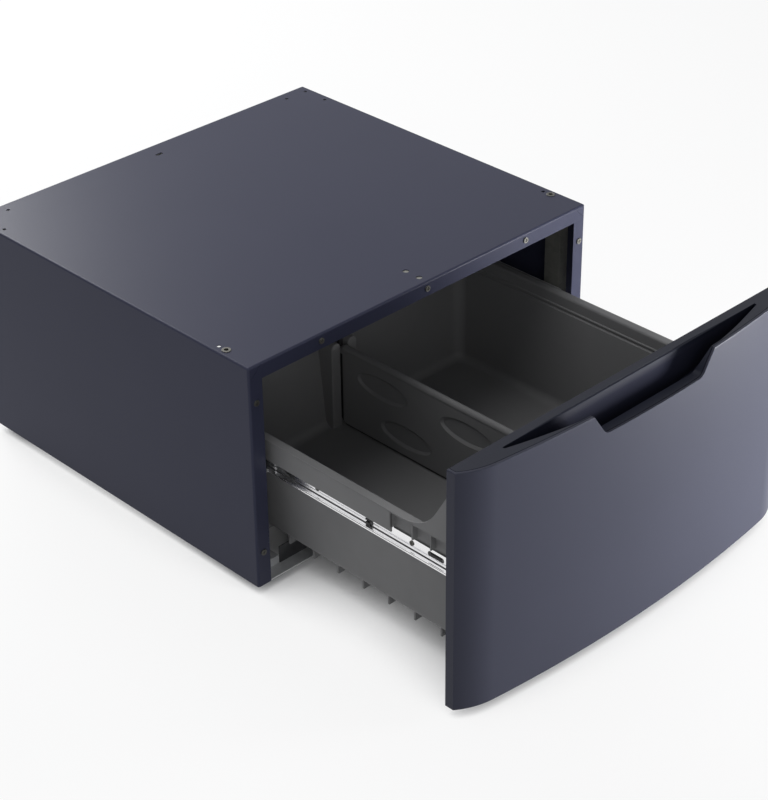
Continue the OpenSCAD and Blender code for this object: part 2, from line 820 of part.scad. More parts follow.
// The moulded bin: body, rim, skirt, swept front corners, guides and ribs
module drawer_bin() {
    outer_x = bin_w / 2;
    back = bin_back_y + rim_w;
    body_x = bin_body_w / 2;
    guide_r = guide_w / 2;
    color(charcoal) in_drawer() difference() {
        union() {
            bin_form(0, floor_z, rim_z);
            translate([0, 0, rim_z - rim_t]) linear_extrude(rim_t)
                rounded_outline(outer_x, bin_front_y, back, bin_corner_r);
            translate([0, 0, rim_z - skirt_h]) linear_extrude(skirt_h) difference() {
                rounded_outline(outer_x, bin_front_y, back, bin_corner_r);
                rounded_outline(outer_x - rim_t, bin_front_y - 2 * bin_corner_r, back - rim_t,
                    bin_corner_r - rim_t);
                translate([-outer_x - cut, bin_front_y - cut])
                    square([2 * outer_x + 2 * cut, recess_y - bin_front_y + cut]);
            }
            plate(-outer_x, outer_x, bin_front_y, bin_front_y + bin_t, rim_z - rim_t, bin_front_z);
            for (s = [-1, 1]) side(s) {
                along_x(outer_x - rim_t, outer_x) sweep_outline(rim_z - rim_t, 0);
                plate(outer_x - recess_in - rim_t, outer_x - recess_in, bin_front_y, recess_y,
                    recess_low, rim_z);
                for (y = [first_gusset_y, second_gusset_y]) plate(outer_x - recess_in, outer_x, y - gusset_t / 2,
                    y + gusset_t / 2, recess_low, rim_z);
                plate(outer_x - recess_in - rim_t, outer_x, recess_y, recess_y + rim_t, recess_low,
                    rim_z);
                for (y = slide_screw_y) translate([0, y, slide_z])
                    rod_x(body_x - bin_draft, slide_back_x, boss_r);
                plate(body_x - bin_draft, slide_back_x, slot_y - slot_len / 2 - 2,
                    slot_y + slot_len / 2 + 2, slide_z - slot_h, slide_z + slot_h);
            }
            for (i = [-3 : 6]) plate(-body_x + bin_draft + rib_in, body_x - bin_draft - rib_in,
                rib_middle_y + i * rib_pitch - bin_t / 2, rib_middle_y + i * rib_pitch + bin_t / 2,
                floor_z - rib_h, floor_z + bin_t / 2);
        }
        bin_form(bin_t, floor_top, rim_z + cut);
        for (s = [-1, 1]) side(s) plate(slide_back_x - play, outer_x + cut,
            bin_back_y - bin_corner_r / 2, back + cut,
            rim_z - skirt_h - cut, slide_z + outer_h / 2 + 4 * play);
        translate([0, 0, rim_z - band_h - groove_h]) linear_extrude(groove_h)
            rounded_outline(body_x - bin_t - groove_d, bin_front_y + bin_t + groove_d,
                bin_back_y - bin_t - groove_d, bin_corner_r);
        for (s = [-1, 1]) side(s) at_drawer_slide_screws() screw_hole(7);
        for (p = front_screw_spots) translate([p[0], bin_front_y + bin_t, p[1]])
            rotate([-90, 0, 0]) screw_hole(bin_t + screw_tail);
    }
    color(charcoal) in_drawer() difference() {
        for (s = [-1, 1], rear = [0, 1])
            translate([s * (guide_x + guide_r), 0, 0]) {
                y = rear ? bin_back_y - bin_t - bin_draft - guide_d : bin_front_y + bin_t;
                depth = guide_d + bin_draft;
                translate([-guide_r, y, floor_top]) cube([guide_w, depth, guide_z - guide_r - floor_top]);
                translate([0, 0, guide_z - guide_r]) rod_y(y, y + depth, guide_r);
            }
        difference() {
            plate(-body_x, body_x, bin_front_y - cut, bin_back_y + cut, 0, cab_h);
            bin_form(bin_t, floor_top, rim_z + cut);
        }
    }
}

// A pressed oval in the plane of the divider
module oval() {
    steps = 40;
    polygon([for (i = [0 : steps - 1]) let (a = i * 360 / steps)
        [cos(a) * oval_len / 2, sin(a) * oval_h / 2]]);
}

// The lift-out divider, its ends leaning with the bin's walls
module divider() {
    low = floor_top + 1;
    top = div_z - bead_d / 2;
    lean = bin_draft / (rim_z - floor_z);
    end_gap = 3 * guide_gap;
    y0 = bin_front_y + bin_t + end_gap;
    y1 = bin_back_y - bin_t - end_gap;
    in_low = lean * (rim_z - low);
    in_top = lean * (rim_z - top);
    color(charcoal) in_drawer() difference() {
        union() {
            along_x(-div_t / 2, div_t / 2)
                polygon([[y0 + in_low + bin_floor_r, low], [y1 - in_low - bin_floor_r, low],
                    [y1 - in_low, low + bin_floor_r], [y1 - in_top, top], [y0 + in_top, top],
                    [y0 + in_low, low + bin_floor_r]]);
            translate([0, 0, top]) rod_y(guide_front_y + guide_gap, guide_back_y - guide_gap, bead_d / 2);
        }
        for (s = [-1, 1]) side(s) along_x(div_t / 2 - oval_depth, div_t / 2 + cut) {
            for (i = [0 : 2]) translate([bin_back_y - oval_rear - i * oval_pitch, oval_high]) oval();
            for (i = [0 : 2]) translate([bin_back_y - oval_rear - oval_stagger - i * oval_pitch, oval_low])
                oval();
        }
    }
}

// Black clip on the divider's rear upper corner
module divider_clip() {
    lean = bin_draft / (rim_z - floor_z);
    top = div_z - bead_d / 2;
    y1 = bin_back_y - bin_t - 3 * guide_gap - lean * (rim_z - top);
    color(black) in_drawer() {
        plate(-div_t / 2 + 1, div_t / 2 - 1, y1 - guide_d - 4, y1 - 4, top, top + 5);
        plate(-div_t / 2 + 1, div_t / 2 - 1, y1 - guide_d - 4, y1 - guide_d, top + 5, top + 18);
    }
}

// Points on an arc about [x, y], from angle a0 to a1, turning clockwise from straight ahead
function arc_points(x, y, r, a0, a1, count) =
    [for (i = [0 : count]) let (a = a0 + (a1 - a0) * i / count) [x + r * sin(a), y + r * cos(a)]];

// Plan of the drawer front, Y running forward from its flat back
module front_plan(inset, back = 0) {
    x = half_w - inset;
    r = corner_r - inset;
    small_x = corner_x - corner_r * sin(corner_tilt);
    small_y = corner_v - corner_r * cos(corner_tilt);
    last = asin((x - small_x) / r);
    polygon(concat([[-x, back]], arc_points(-small_x, small_y, r, -last, -corner_tilt, 12),
        arc_points(0, front_t - bulge_r, bulge_r - inset, -corner_tilt + 0.3, corner_tilt - 0.3, 40),
        arc_points(small_x, small_y, r, corner_tilt, last, 12), [[x, back]]));
}

// Stands a plan of the drawer front up between two heights
module front_slab(z0, z1) {
    in_drawer() translate([0, -front_gap, z0]) mirror([0, 1, 0]) linear_extrude(z1 - z0) children();
}

// The notch in the front's top edge, in front of the scoop's middle
module notch(grow = 0) {
    rise = 10;
    low = notch_low_w / 2 + grow;
    high = notch_top_w / 2 + grow + (notch_top_w - notch_low_w) / 2 / notch_depth * rise;
    in_drawer() translate([0, -front_gap, 0]) along_y(-front_t - cut, -2 * scoop_back)
        polygon([[-low, notch_low - grow], [low, notch_low - grow], [high, front_top + rise],
            [-high, front_top + rise]]);
}

// The painted skin: curved face, flat sides, rolled top edge and back flanges
module front_skin() {
    color(navy) difference() {
        union() {
            front_slab(front_low, front_top) difference() {
                front_plan(0);
                front_plan(skin_t, back = -cut);
            }
            front_slab(front_top - skin_t, front_top) difference() {
                front_plan(0);
                front_plan(skin_edge_w, back = -cut);
            }
            front_slab(front_low, front_low + skin_t) difference() {
                front_plan(0);
                front_plan(skin_edge_w, back = -cut);
            }
            front_slab(front_low, front_top - cap_rim_h - play) for (m = [0, 1]) mirror([m, 0])
                translate([half_w - skin_flange_w, 0]) square([skin_flange_w, skin_t]);
        }
        notch();
    }
}

// The steel plate across the back of the drawer front
module front_back_plate() {
    x = half_w - skin_flange_w - play;
    z0 = front_low + skin_t + cap_t + play;
    z1 = front_top - cap_rim_h - play;
    color(steel) difference() {
        in_drawer() plate(-x, x, -front_gap - plate_t, -front_gap, z0, z1);
        in_drawer() for (p = front_screw_spots) translate([p[0], -front_gap, p[1]])
            rotate([-90, 0, 0]) screw_hole(2 * plate_t);
    }
}

// Plan of the handle scoop, a straight back and a curved front
module scoop_plan(grow, inset) {
    intersection() {
        translate([0, scoop_front_v - scoop_r]) circle(r = scoop_r + grow, $fn = 360);
        translate([-half_w, scoop_back - grow]) square([cab_w, front_t]);
        front_plan(inset);
    }
}

// The scoop's bottom rises to both ends along a large arc
module scoop_bowl(grow) {
    in_drawer() translate([0, 0, scoop_low + scoop_bowl_r])
        rod_y(-front_gap - front_t - cut, -front_gap + cut, scoop_bowl_r + grow, $fn = 360);
}

// The moulded top of the drawer front, with the finger scoop
module handle_cap() {
    wall = skin_edge_w + play;
    color(navy) difference() {
        union() {
            front_slab(front_top - cap_t, front_top) front_plan(wall, back = 0);
            front_slab(front_top - cap_rim_h, front_top) difference() {
                front_plan(wall, back = 0);
                front_plan(wall + cap_t, back = cap_t);
            }
            intersection() {
                front_slab(scoop_low - cap_t, front_top) scoop_plan(cap_t, wall);
                scoop_bowl(cap_t);
            }
            intersection() {
                front_slab(notch_low - cap_t, front_top - skin_t - play)
                    front_plan(skin_t + play, back = 2 * scoop_back + cut);
                notch(cap_t);
            }
        }
        intersection() {
            front_slab(scoop_low - cap_t, front_top + cut) scoop_plan(0, wall + cap_t);
            scoop_bowl(0);
        }
        notch();
    }
}

// The moulded tray that closes the drawer front's lower edge
module bottom_cap() {
    wall = skin_t + play;
    z0 = front_low + skin_t;
    color(navy) {
        front_slab(z0, z0 + cap_t) front_plan(wall, back = skin_t + play);
        front_slab(z0 + cap_t, z0 + cap_rim_h) difference() {
            front_plan(wall, back = 3 * skin_t);
            front_plan(wall + cap_t, back = 0);
        }
    }
}

module front_screws() {
    color(zinc) in_drawer() for (p = front_screw_spots) translate([p[0], bin_front_y + bin_t, p[1]])
        rotate([-90, 0, 0]) screw(bin_t + plate_t + screw_tail);
}

cabinet_wrap();
back_panel();
front_base_rail();
rear_base_rail();
left_base_rail();
right_base_rail();
front_top_rail();
rear_top_rail();
left_front_post();
right_front_post();
left_rear_post();
right_rear_post();
left_slide_support();
right_slide_support();
foot_brackets();
foot_weld_nuts();
foot_lock_nuts();
front_left_foot();
front_right_foot();
rear_left_foot();
rear_right_foot();
front_left_pad();
front_right_pad();
rear_left_pad();
rear_right_pad();
flange_screws();
back_screws();
support_screws();
left_cabinet_slide();
right_cabinet_slide();
left_ball_cage();
right_ball_cage();
left_balls();
right_balls();
left_drawer_slide();
right_drawer_slide();
left_slide_clip();
right_slide_clip();
left_release_lever();
right_release_lever();
slide_screws();
drawer_bin();
divider();
divider_clip();
front_skin();
front_back_plate();
handle_cap();
bottom_cap();
front_screws();
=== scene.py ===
import json
import math

import bmesh
import bpy
from mathutils import Matrix, Vector

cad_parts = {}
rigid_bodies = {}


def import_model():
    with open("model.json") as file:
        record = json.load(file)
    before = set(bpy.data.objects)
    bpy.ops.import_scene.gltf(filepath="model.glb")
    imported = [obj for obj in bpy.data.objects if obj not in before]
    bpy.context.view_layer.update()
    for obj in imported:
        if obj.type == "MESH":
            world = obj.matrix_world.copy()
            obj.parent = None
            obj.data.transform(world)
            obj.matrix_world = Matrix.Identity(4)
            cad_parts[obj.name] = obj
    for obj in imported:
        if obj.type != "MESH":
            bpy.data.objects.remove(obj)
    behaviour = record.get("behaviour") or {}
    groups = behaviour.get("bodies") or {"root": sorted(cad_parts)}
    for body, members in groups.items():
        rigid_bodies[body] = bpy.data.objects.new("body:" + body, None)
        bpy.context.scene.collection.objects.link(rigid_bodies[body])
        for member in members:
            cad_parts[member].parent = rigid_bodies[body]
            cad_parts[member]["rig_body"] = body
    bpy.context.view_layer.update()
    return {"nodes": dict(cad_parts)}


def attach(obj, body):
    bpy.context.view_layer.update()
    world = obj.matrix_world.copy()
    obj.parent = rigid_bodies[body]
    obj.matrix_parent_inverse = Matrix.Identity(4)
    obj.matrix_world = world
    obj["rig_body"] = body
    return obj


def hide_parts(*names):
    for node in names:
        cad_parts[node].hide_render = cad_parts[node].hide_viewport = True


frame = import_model()
print("frame loaded")

# Where the cabinet's own frame and the closed drawer's own frame lie in the row frame, in mm
cabinetShift = Vector((0, -110.5, 15))
drawerShift = Vector((0, -492.2, 15))


# ---- camera, lights and floor ----

cameraSet = {
    "place": (-2.034, -2.1145, 1.963),
    "yaw": 44.09,
    "pitch": 31.9,
    "roll": -0.69,
    "focal": 2189 / 800 * 36,
}


def makeCamera():
    data = bpy.data.cameras.new("camera")
    data.sensor_width = 36
    data.lens = cameraSet["focal"]
    data.clip_start, data.clip_end = 0.05, 60
    camera = bpy.data.objects.new("camera", data)
    bpy.context.scene.collection.objects.link(camera)
    turn = (Matrix.Rotation(math.radians(-cameraSet["yaw"]), 4, "Z")
            @ Matrix.Rotation(math.radians(90 - cameraSet["pitch"]), 4, "X")
            @ Matrix.Rotation(math.radians(cameraSet["roll"]), 4, "Z"))
    camera.matrix_world = Matrix.Translation(cameraSet["place"]) @ turn
    bpy.context.scene.camera = camera


lamps = {
    "behind": {"place": (0.5, 2.9, 2.0), "aim": (0, 0.1, 0.38), "size": 1.3, "power": 80},
    "above": {"place": (-0.6, -0.1, 2.2), "aim": (0.1, 0, 0.2), "size": 1.2, "power": 12},
    "frontLeft": {"place": (-2.4, -3.4, 1.7), "aim": (0, -0.3, 0.2), "size": 2.0, "power": 23},
    "rightFront": {"place": (2.2, -2.4, 0.1), "aim": (0.1, -0.5, 0.1), "size": 0.9, "power": 66},
    "right": {"place": (0.85, -1.25, 0.12), "aim": (0.2, -0.5, 0.05), "size": 0.5, "power": 30},
}


def makeLamps():
    for name, values in lamps.items():
        data = bpy.data.lights.new(name, "AREA")
        data.shape = "SQUARE"
        data.size = values["size"]
        data.energy = values["power"]
        lamp = bpy.data.objects.new(name, data)
        bpy.context.scene.collection.objects.link(lamp)
        lamp.location = values["place"]
        aim = Vector(values["aim"]) - Vector(values["place"])
        lamp.rotation_euler = aim.to_track_quat("-Z", "Y").to_euler()
        lamp.visible_camera = False


worldSet = {"light": (0.22, 0.225, 0.235), "seen": 1.0}


def seesBackdrop(tree, x, y):
    # 1 for rays from the camera, off gloss and through glass
    path = tree.nodes.new("ShaderNodeLightPath")
    path.location = (x, y)
    first = tree.nodes.new("ShaderNodeMath")
    first.operation, first.use_clamp = "ADD", True
    first.location = (x + 200, y)
    tree.links.new(path.outputs["Is Camera Ray"], first.inputs[0])
    tree.links.new(path.outputs["Is Glossy Ray"], first.inputs[1])
    second = tree.nodes.new("ShaderNodeMath")
    second.operation, second.use_clamp = "ADD", True
    second.location = (x + 400, y)
    tree.links.new(first.outputs[0], second.inputs[0])
    tree.links.new(path.outputs["Is Transmission Ray"], second.inputs[1])
    return second.outputs[0]


def makeWorld():
    world = bpy.data.worlds.new("studio")
    world.use_nodes = True
    tree = world.node_tree
    tree.nodes.clear()
    light = tree.nodes.new("ShaderNodeBackground")
    light.inputs["Color"].default_value = (*worldSet["light"], 1)
    light.inputs["Strength"].default_value = 1
    seen = tree.nodes.new("ShaderNodeBackground")
    seen.inputs["Color"].default_value = (1, 1, 1, 1)
    seen.inputs["Strength"].default_value = worldSet["seen"]
    mix = tree.nodes.new("ShaderNodeMixShader")
    output = tree.nodes.new("ShaderNodeOutputWorld")
    tree.links.new(seesBackdrop(tree, -600, 200), mix.inputs[0])
    tree.links.new(light.outputs[0], mix.inputs[1])
    tree.links.new(seen.outputs[0], mix.inputs[2])
    tree.links.new(mix.outputs[0], output.inputs["Surface"])
    for node, x, y in ((light, 0, -100), (seen, 0, 100), (mix, 250, 0), (output, 450, 0)):
        node.location = (x, y)
    bpy.context.scene.world = world


floorSet = {"size": 30, "color": (0.86, 0.86, 0.865), "white": 0.86, "reach": 0.22, "open": (0.15, 0.6)}


def makeFloor():
    bm = bmesh.new()
    bmesh.ops.create_grid(bm, x_segments=1, y_segments=1, size=floorSet["size"])
    mesh = bpy.data.meshes.new("floor")
    bm.to_mesh(mesh)
    bm.free()
    floor = bpy.data.objects.new("floor", mesh)
    bpy.context.scene.collection.objects.link(floor)
    material = bpy.data.materials.new("paleFloor")
    material.use_nodes = True
    tree = material.node_tree
    shader = tree.nodes["Principled BSDF"]
    shader.inputs["Base Color"].default_value = (*floorSet["color"], 1)
    shader.inputs["Roughness"].default_value = 0.9
    shader.inputs["Specular IOR Level"].default_value = 0.1
    glow = tree.nodes.new("ShaderNodeEmission")
    glow.inputs["Color"].default_value = (1, 1, 1, 1)
    glow.inputs["Strength"].default_value = 1
    share = tree.nodes.new("ShaderNodeMath")
    share.operation = "MULTIPLY"
    # the white share fades where the object closes the floor in, so that its shadow stays
    near = tree.nodes.new("ShaderNodeAmbientOcclusion")
    near.inputs["Distance"].default_value = floorSet["reach"]
    low, high = floorSet["open"]
    opened = tree.nodes.new("ShaderNodeMapRange")
    for name, number in (("From Min", low), ("From Max", high), ("To Min", 0), ("To Max", floorSet["white"])):
        opened.inputs[name].default_value = number
    tree.links.new(near.outputs["AO"], opened.inputs["Value"])
    tree.links.new(opened.outputs["Result"], share.inputs[1])
    mix = tree.nodes.new("ShaderNodeMixShader")
    tree.links.new(seesBackdrop(tree, -800, 300), share.inputs[0])
    tree.links.new(share.outputs[0], mix.inputs[0])
    tree.links.new(shader.outputs[0], mix.inputs[1])
    tree.links.new(glow.outputs[0], mix.inputs[2])
    tree.links.new(mix.outputs[0], tree.nodes["Material Output"].inputs["Surface"])
    mesh.materials.append(material)


makeCamera()
makeLamps()
makeWorld()
makeFloor()
bpy.context.scene.view_settings.view_transform = "Standard"
print("camera, lights and floor ready")


# ---- finishes ----

def blankFinish(name):
    material = bpy.data.materials.new(name)
    material.use_nodes = True
    tree = material.node_tree
    shader = tree.nodes["Principled BSDF"]
    shader.location = (300, 0)
    place = tree.nodes.new("ShaderNodeTexCoord")
    place.location = (-900, 0)
    return material, tree, shader, place.outputs["Object"]


def addNoise(tree, place, scale, detail=3.0, rough=0.5, x=-700, y=0):
    noise = tree.nodes.new("ShaderNodeTexNoise")
    noise.location = (x, y)
    noise.inputs["Scale"].default_value = scale
    noise.inputs["Detail"].default_value = detail
    noise.inputs["Roughness"].default_value = rough
    tree.links.new(place, noise.inputs["Vector"])
    return noise.outputs["Fac"]


def addRange(tree, value, fromLow, fromHigh, toLow, toHigh, x=-400, y=0):
    mapping = tree.nodes.new("ShaderNodeMapRange")
    mapping.location = (x, y)
    for name, number in (("From Min", fromLow), ("From Max", fromHigh), ("To Min", toLow), ("To Max", toHigh)):
        mapping.inputs[name].default_value = number
    tree.links.new(value, mapping.inputs["Value"])
    return mapping.outputs["Result"]


def addBlend(tree, value, dark, light, x=-200, y=0):
    blend = tree.nodes.new("ShaderNodeMix")
    blend.data_type = "RGBA"
    blend.location = (x, y)
    blend.inputs["A"].default_value = (*dark, 1)
    blend.inputs["B"].default_value = (*light, 1)
    tree.links.new(value, blend.inputs["Factor"])
    return blend.outputs["Result"]


def addBump(tree, shader, height, strength, distance, x=50, y=-300):
    bump = tree.nodes.new("ShaderNodeBump")
    bump.location = (x, y)
    bump.inputs["Strength"].default_value = strength
    bump.inputs["Distance"].default_value = distance
    tree.links.new(height, bump.inputs["Height"])
    tree.links.new(bump.outputs["Normal"], shader.inputs["Normal"])


# cabinet and front are two tints of the same navy enamel; the front's greyer, less blue tint is painted light,
# standing in for the whiter light falling on the drawer face
paintSet = {
    "cabinet": ((0.0315, 0.0340, 0.0610), (0.0365, 0.0390, 0.0680)),
    "front": ((0.0345, 0.0365, 0.0545), (0.0395, 0.0415, 0.0615)),
    "gloss": 0.11,
    "roughness": (0.34, 0.40),
    "peelScale": 420,
    "peelDepth": 0.00005,
}


def makePaint(name, dark, light):
    # satin navy enamel with a fine orange peel
    material, tree, shader, place = blankFinish(name)
    cloud = addNoise(tree, place, 5, 2, y=250)
    tree.links.new(addBlend(tree, cloud, dark, light, y=250),
                   shader.inputs["Base Color"])
    shader.inputs["Specular IOR Level"].default_value = paintSet["gloss"]
    low, high = paintSet["roughness"]
    fleck = addNoise(tree, place, 900, 2, y=0)
    tree.links.new(addRange(tree, fleck, 0.3, 0.7, low, high), shader.inputs["Roughness"])
    peel = addNoise(tree, place, paintSet["peelScale"], 2, 0.45, y=-300)
    addBump(tree, shader, peel, 0.25, paintSet["peelDepth"])
    return material


plasticSet = {
    "cap": {"dark": (0.011, 0.0125, 0.022), "light": (0.014, 0.016, 0.027), "roughness": (0.36, 0.42),
            "gloss": 0.12, "grain": 1400, "depth": 0.00006,
            # pocket: painted shade, the cap's colour darkened with depth behind the lip, with raised roughness there
            "pocket": {"back": -0.5310, "z": (0.404, 0.390), "keep": 0, "roughness": 0.9}},
    "bin": {"dark": (0.178, 0.178, 0.180), "light": (0.196, 0.196, 0.198), "roughness": (0.50, 0.60),
            "gloss": 0.25, "grain": 1100, "depth": 0.00010},
    "black": {"dark": (0.011, 0.011, 0.012), "light": (0.017, 0.017, 0.018), "roughness": (0.35, 0.45),
              "gloss": 0.4, "grain": 1500, "depth": 0.00005},
    "rubber": {"dark": (0.012, 0.012, 0.012), "light": (0.022, 0.022, 0.022), "roughness": (0.70, 0.85),
               "gloss": 0.3, "grain": 700, "depth": 0.00010},
}


def makePlastic(name, values):
    # moulded plastic: an even colour, a spark-eroded grain and faint flow clouds
    material, tree, shader, place = blankFinish(name)
    cloud = addNoise(tree, place, 7, 3, y=250)
    tree.links.new(addBlend(tree, cloud, values["dark"], values["light"], y=250), shader.inputs["Base Color"])
    shader.inputs["Specular IOR Level"].default_value = values["gloss"]
    low, high = values["roughness"]
    patch = addNoise(tree, place, 30, 3, y=0)
    tree.links.new(addRange(tree, patch, 0.3, 0.7, low, high), shader.inputs["Roughness"])
    grain = addNoise(tree, place, values["grain"], 2, 0.6, y=-300)
    addBump(tree, shader, grain, 0.35, values["depth"])
    if "pocket" in values:
        paintPocketShade(tree, shader, place, values)
    return material


def paintPocketShade(tree, shader, place, values):
    # behind the lip the plastic is painted darker with depth, painted shade in the pocket, and its roughness rises
    pocket = values["pocket"]
    split = tree.nodes.new("ShaderNodeSeparateXYZ")
    split.location = (-880, 600)
    tree.links.new(place, split.inputs[0])
    behind = tree.nodes.new("ShaderNodeMath")
    behind.operation = "GREATER_THAN"
    behind.location = (-650, 700)
    tree.links.new(split.outputs["Y"], behind.inputs[0])
    behind.inputs[1].default_value = pocket["back"]
    top, low = pocket["z"]
    sunk = tree.nodes.new("ShaderNodeMapRange")
    sunk.location = (-650, 500)
    tree.links.new(split.outputs["Z"], sunk.inputs["Value"])
    for name, number in (("From Min", top), ("From Max", low), ("To Min", 0), ("To Max", 1 - pocket["keep"])):
        sunk.inputs[name].default_value = number
    pocketShadeAmount = tree.nodes.new("ShaderNodeMath")
    pocketShadeAmount.operation = "MULTIPLY"
    pocketShadeAmount.location = (-450, 600)
    tree.links.new(behind.outputs[0], pocketShadeAmount.inputs[0])
    tree.links.new(sunk.outputs["Result"], pocketShadeAmount.inputs[1])
    base = shader.inputs["Base Color"].links[0].from_socket
    mix = tree.nodes.new("ShaderNodeMix")
    mix.data_type = "RGBA"
    mix.location = (-200, 500)
    tree.links.new(pocketShadeAmount.outputs[0], mix.inputs[0])
    tree.links.new(base, mix.inputs[6])
    # the dark navy that the pocket's painted shade fades to
    mix.inputs[7].default_value = (0.010, 0.011, 0.022, 1)
    tree.links.new(mix.outputs[2], shader.inputs["Base Color"])
    dull = tree.nodes.new("ShaderNodeMix")
    dull.location = (-200, 700)
    tree.links.new(pocketShadeAmount.outputs[0], dull.inputs[0])
    tree.links.new(shader.inputs["Roughness"].links[0].from_socket, dull.inputs[2])
    dull.inputs[3].default_value = pocket["roughness"]
    tree.links.new(dull.outputs[0], shader.inputs["Roughness"])


zincSet = {
    "slide": {"dark": (0.84, 0.84, 0.85), "light": (0.88, 0.88, 0.89), "roughness": (0.15, 0.19)},
    "screw": {"dark": (0.085, 0.084, 0.078), "light": (0.125, 0.123, 0.113), "roughness": (0.50, 0.58)},
}


def makeZinc(name, values):
    # plated steel: nearly even, with a faint cloud along its length
    material, tree, shader, place = blankFinish(name)
    stretch = tree.nodes.new("ShaderNodeMapping")
    stretch.location = (-880, -150)
    stretch.inputs["Scale"].default_value = (1, 0.15, 1)
    tree.links.new(place, stretch.inputs["Vector"])
    cloud = addNoise(tree, stretch.outputs["Vector"], 40, 3, y=250)
    tree.links.new(addBlend(tree, cloud, values["dark"], values["light"], y=250), shader.inputs["Base Color"])
    low, high = values["roughness"]
    tree.links.new(addRange(tree, cloud, 0.3, 0.7, low, high), shader.inputs["Roughness"])
    shader.inputs["Metallic"].default_value = 1
    return material


# pale is the coat as lit; middle and shade are darker copies of the same coat, painted shade for parts under the deck
# and for the base rails' upright webs
galvanisedSet = {
    "pale": {"dark": (0.50, 0.51, 0.52), "light": (0.60, 0.61, 0.62), "cell": 130, "metallic": 0.45},
    "middle": {"dark": (0.17, 0.17, 0.155), "light": (0.22, 0.22, 0.20), "cell": 130, "metallic": 0.3},
    "shade": {"dark": (0.035, 0.036, 0.038), "light": (0.060, 0.061, 0.064), "cell": 130, "metallic": 0.3},
}


def makeGalvanised(name, values):
    # hot-dip coating with faint spangle
    material, tree, shader, place = blankFinish(name)
    cells = tree.nodes.new("ShaderNodeTexVoronoi")
    cells.location = (-700, 250)
    cells.inputs["Scale"].default_value = values["cell"]
    tree.links.new(place, cells.inputs["Vector"])
    grey = tree.nodes.new("ShaderNodeRGBToBW")
    grey.location = (-450, 250)
    tree.links.new(cells.outputs["Color"], grey.inputs[0])
    tree.links.new(addBlend(tree, grey.outputs[0], values["dark"], values["light"], y=250),
                   shader.inputs["Base Color"])
    tree.links.new(addRange(tree, grey.outputs[0], 0.2, 0.8, 0.32, 0.46), shader.inputs["Roughness"])
    shader.inputs["Metallic"].default_value = values["metallic"]
    addBump(tree, shader, addNoise(tree, place, 500, 2, y=-300), 0.15, 0.00004)
    return material


paint = makePaint("navyEnamel", *paintSet["cabinet"])
litFrontPaint = makePaint("litFrontEnamel", *paintSet["front"])
capPlastic = makePlastic("navyPlastic", plasticSet["cap"])
binPlastic = makePlastic("charcoalPlastic", plasticSet["bin"])
blackPlastic = makePlastic("blackPlastic", plasticSet["black"])
rubber = makePlastic("blackRubber", plasticSet["rubber"])
zinc = makeZinc("brightZinc", zincSet["slide"])
screwZinc = makeZinc("greyZinc", zincSet["screw"])
galvanised = makeGalvanised("galvanisedSteel", galvanisedSet["pale"])
halfShadeSteel = makeGalvanised("halfShadeSteel", galvanisedSet["middle"])
paintedShadeSteel = makeGalvanised("paintedShadeSteel", galvanisedSet["shade"])
finishes = {
    "paint": paint,
    "lit_front_paint": litFrontPaint,
    "cap_plastic": capPlastic,
    "bin_plastic": binPlastic,
    "black_plastic": blackPlastic,
    "rubber": rubber,
    "zinc": zinc,
    "screw_zinc": screwZinc,
    "galvanised": galvanised,
    "half_shade_steel": halfShadeSteel,
}
print("finishes ready")


# ---- shaping helpers, all in mm until a piece is finished ----

def finishPiece(name, bm, body, slot, shift=None, replaced=(), sharp=35):
    if shift is not None:
        bmesh.ops.translate(bm, vec=shift, verts=bm.verts)
        bmesh.ops.scale(bm, vec=(0.001, 0.001, 0.001), verts=bm.verts)
    mesh = bpy.data.meshes.new(name)
    bm.to_mesh(mesh)
    bm.free()
    mesh.shade_smooth()
    mesh.set_sharp_from_angle(angle=math.radians(sharp))
    mesh.materials.append(finishes[slot])
    piece = bpy.data.objects.new(name, mesh)
    bpy.context.scene.collection.objects.link(piece)
    even = piece.modifiers.new("evenShading", "WEIGHTED_NORMAL")
    even.keep_sharp = True
    even.weight = 80
    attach(piece, body)
    if replaced:
        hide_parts(*replaced)
    return piece


def joinInto(bm, other):
    mesh = bpy.data.meshes.new("part")
    other.to_mesh(mesh)
    other.free()
    bm.from_mesh(mesh)
    bpy.data.meshes.remove(mesh)


def cutWith(bm, tool, operation="DIFFERENCE"):
    made = []
    for part, name in ((bm, "base"), (tool, "tool")):
        mesh = bpy.data.meshes.new(name)
        part.to_mesh(mesh)
        part.free()
        thing = bpy.data.objects.new(name, mesh)
        bpy.context.scene.collection.objects.link(thing)
        made.append(thing)
    modifier = made[0].modifiers.new("cut", "BOOLEAN")
    modifier.operation, modifier.solver, modifier.object = operation, "EXACT", made[1]
    result = bmesh.new()
    result.from_object(made[0], bpy.context.evaluated_depsgraph_get())
    for thing in made:
        mesh = thing.data
        bpy.data.objects.remove(thing)
        bpy.data.meshes.remove(mesh)
    return result


def bevelEdges(bm, edges, width, segments=2):
    bmesh.ops.bevel(bm, geom=edges, offset=width, offset_type="OFFSET", segments=segments, profile=0.5,
                    affect="EDGES", clamp_overlap=True, material=-1)


def sharpEdges(bm, angle=30):
    limit = math.radians(angle)
    return [e for e in bm.edges if len(e.link_faces) == 2 and e.calc_face_angle(0) > limit]


def block(x0, x1, y0, y1, z0, z1, bevel=0.0, segments=2):
    bm = bmesh.new()
    bmesh.ops.create_cube(bm, size=1)
    bmesh.ops.scale(bm, vec=(x1 - x0, y1 - y0, z1 - z0), verts=bm.verts)
    bmesh.ops.translate(bm, vec=((x0 + x1) / 2, (y0 + y1) / 2, (z0 + z1) / 2), verts=bm.verts)
    if bevel:
        bevelEdges(bm, bm.edges[:], bevel, segments)
    return bm


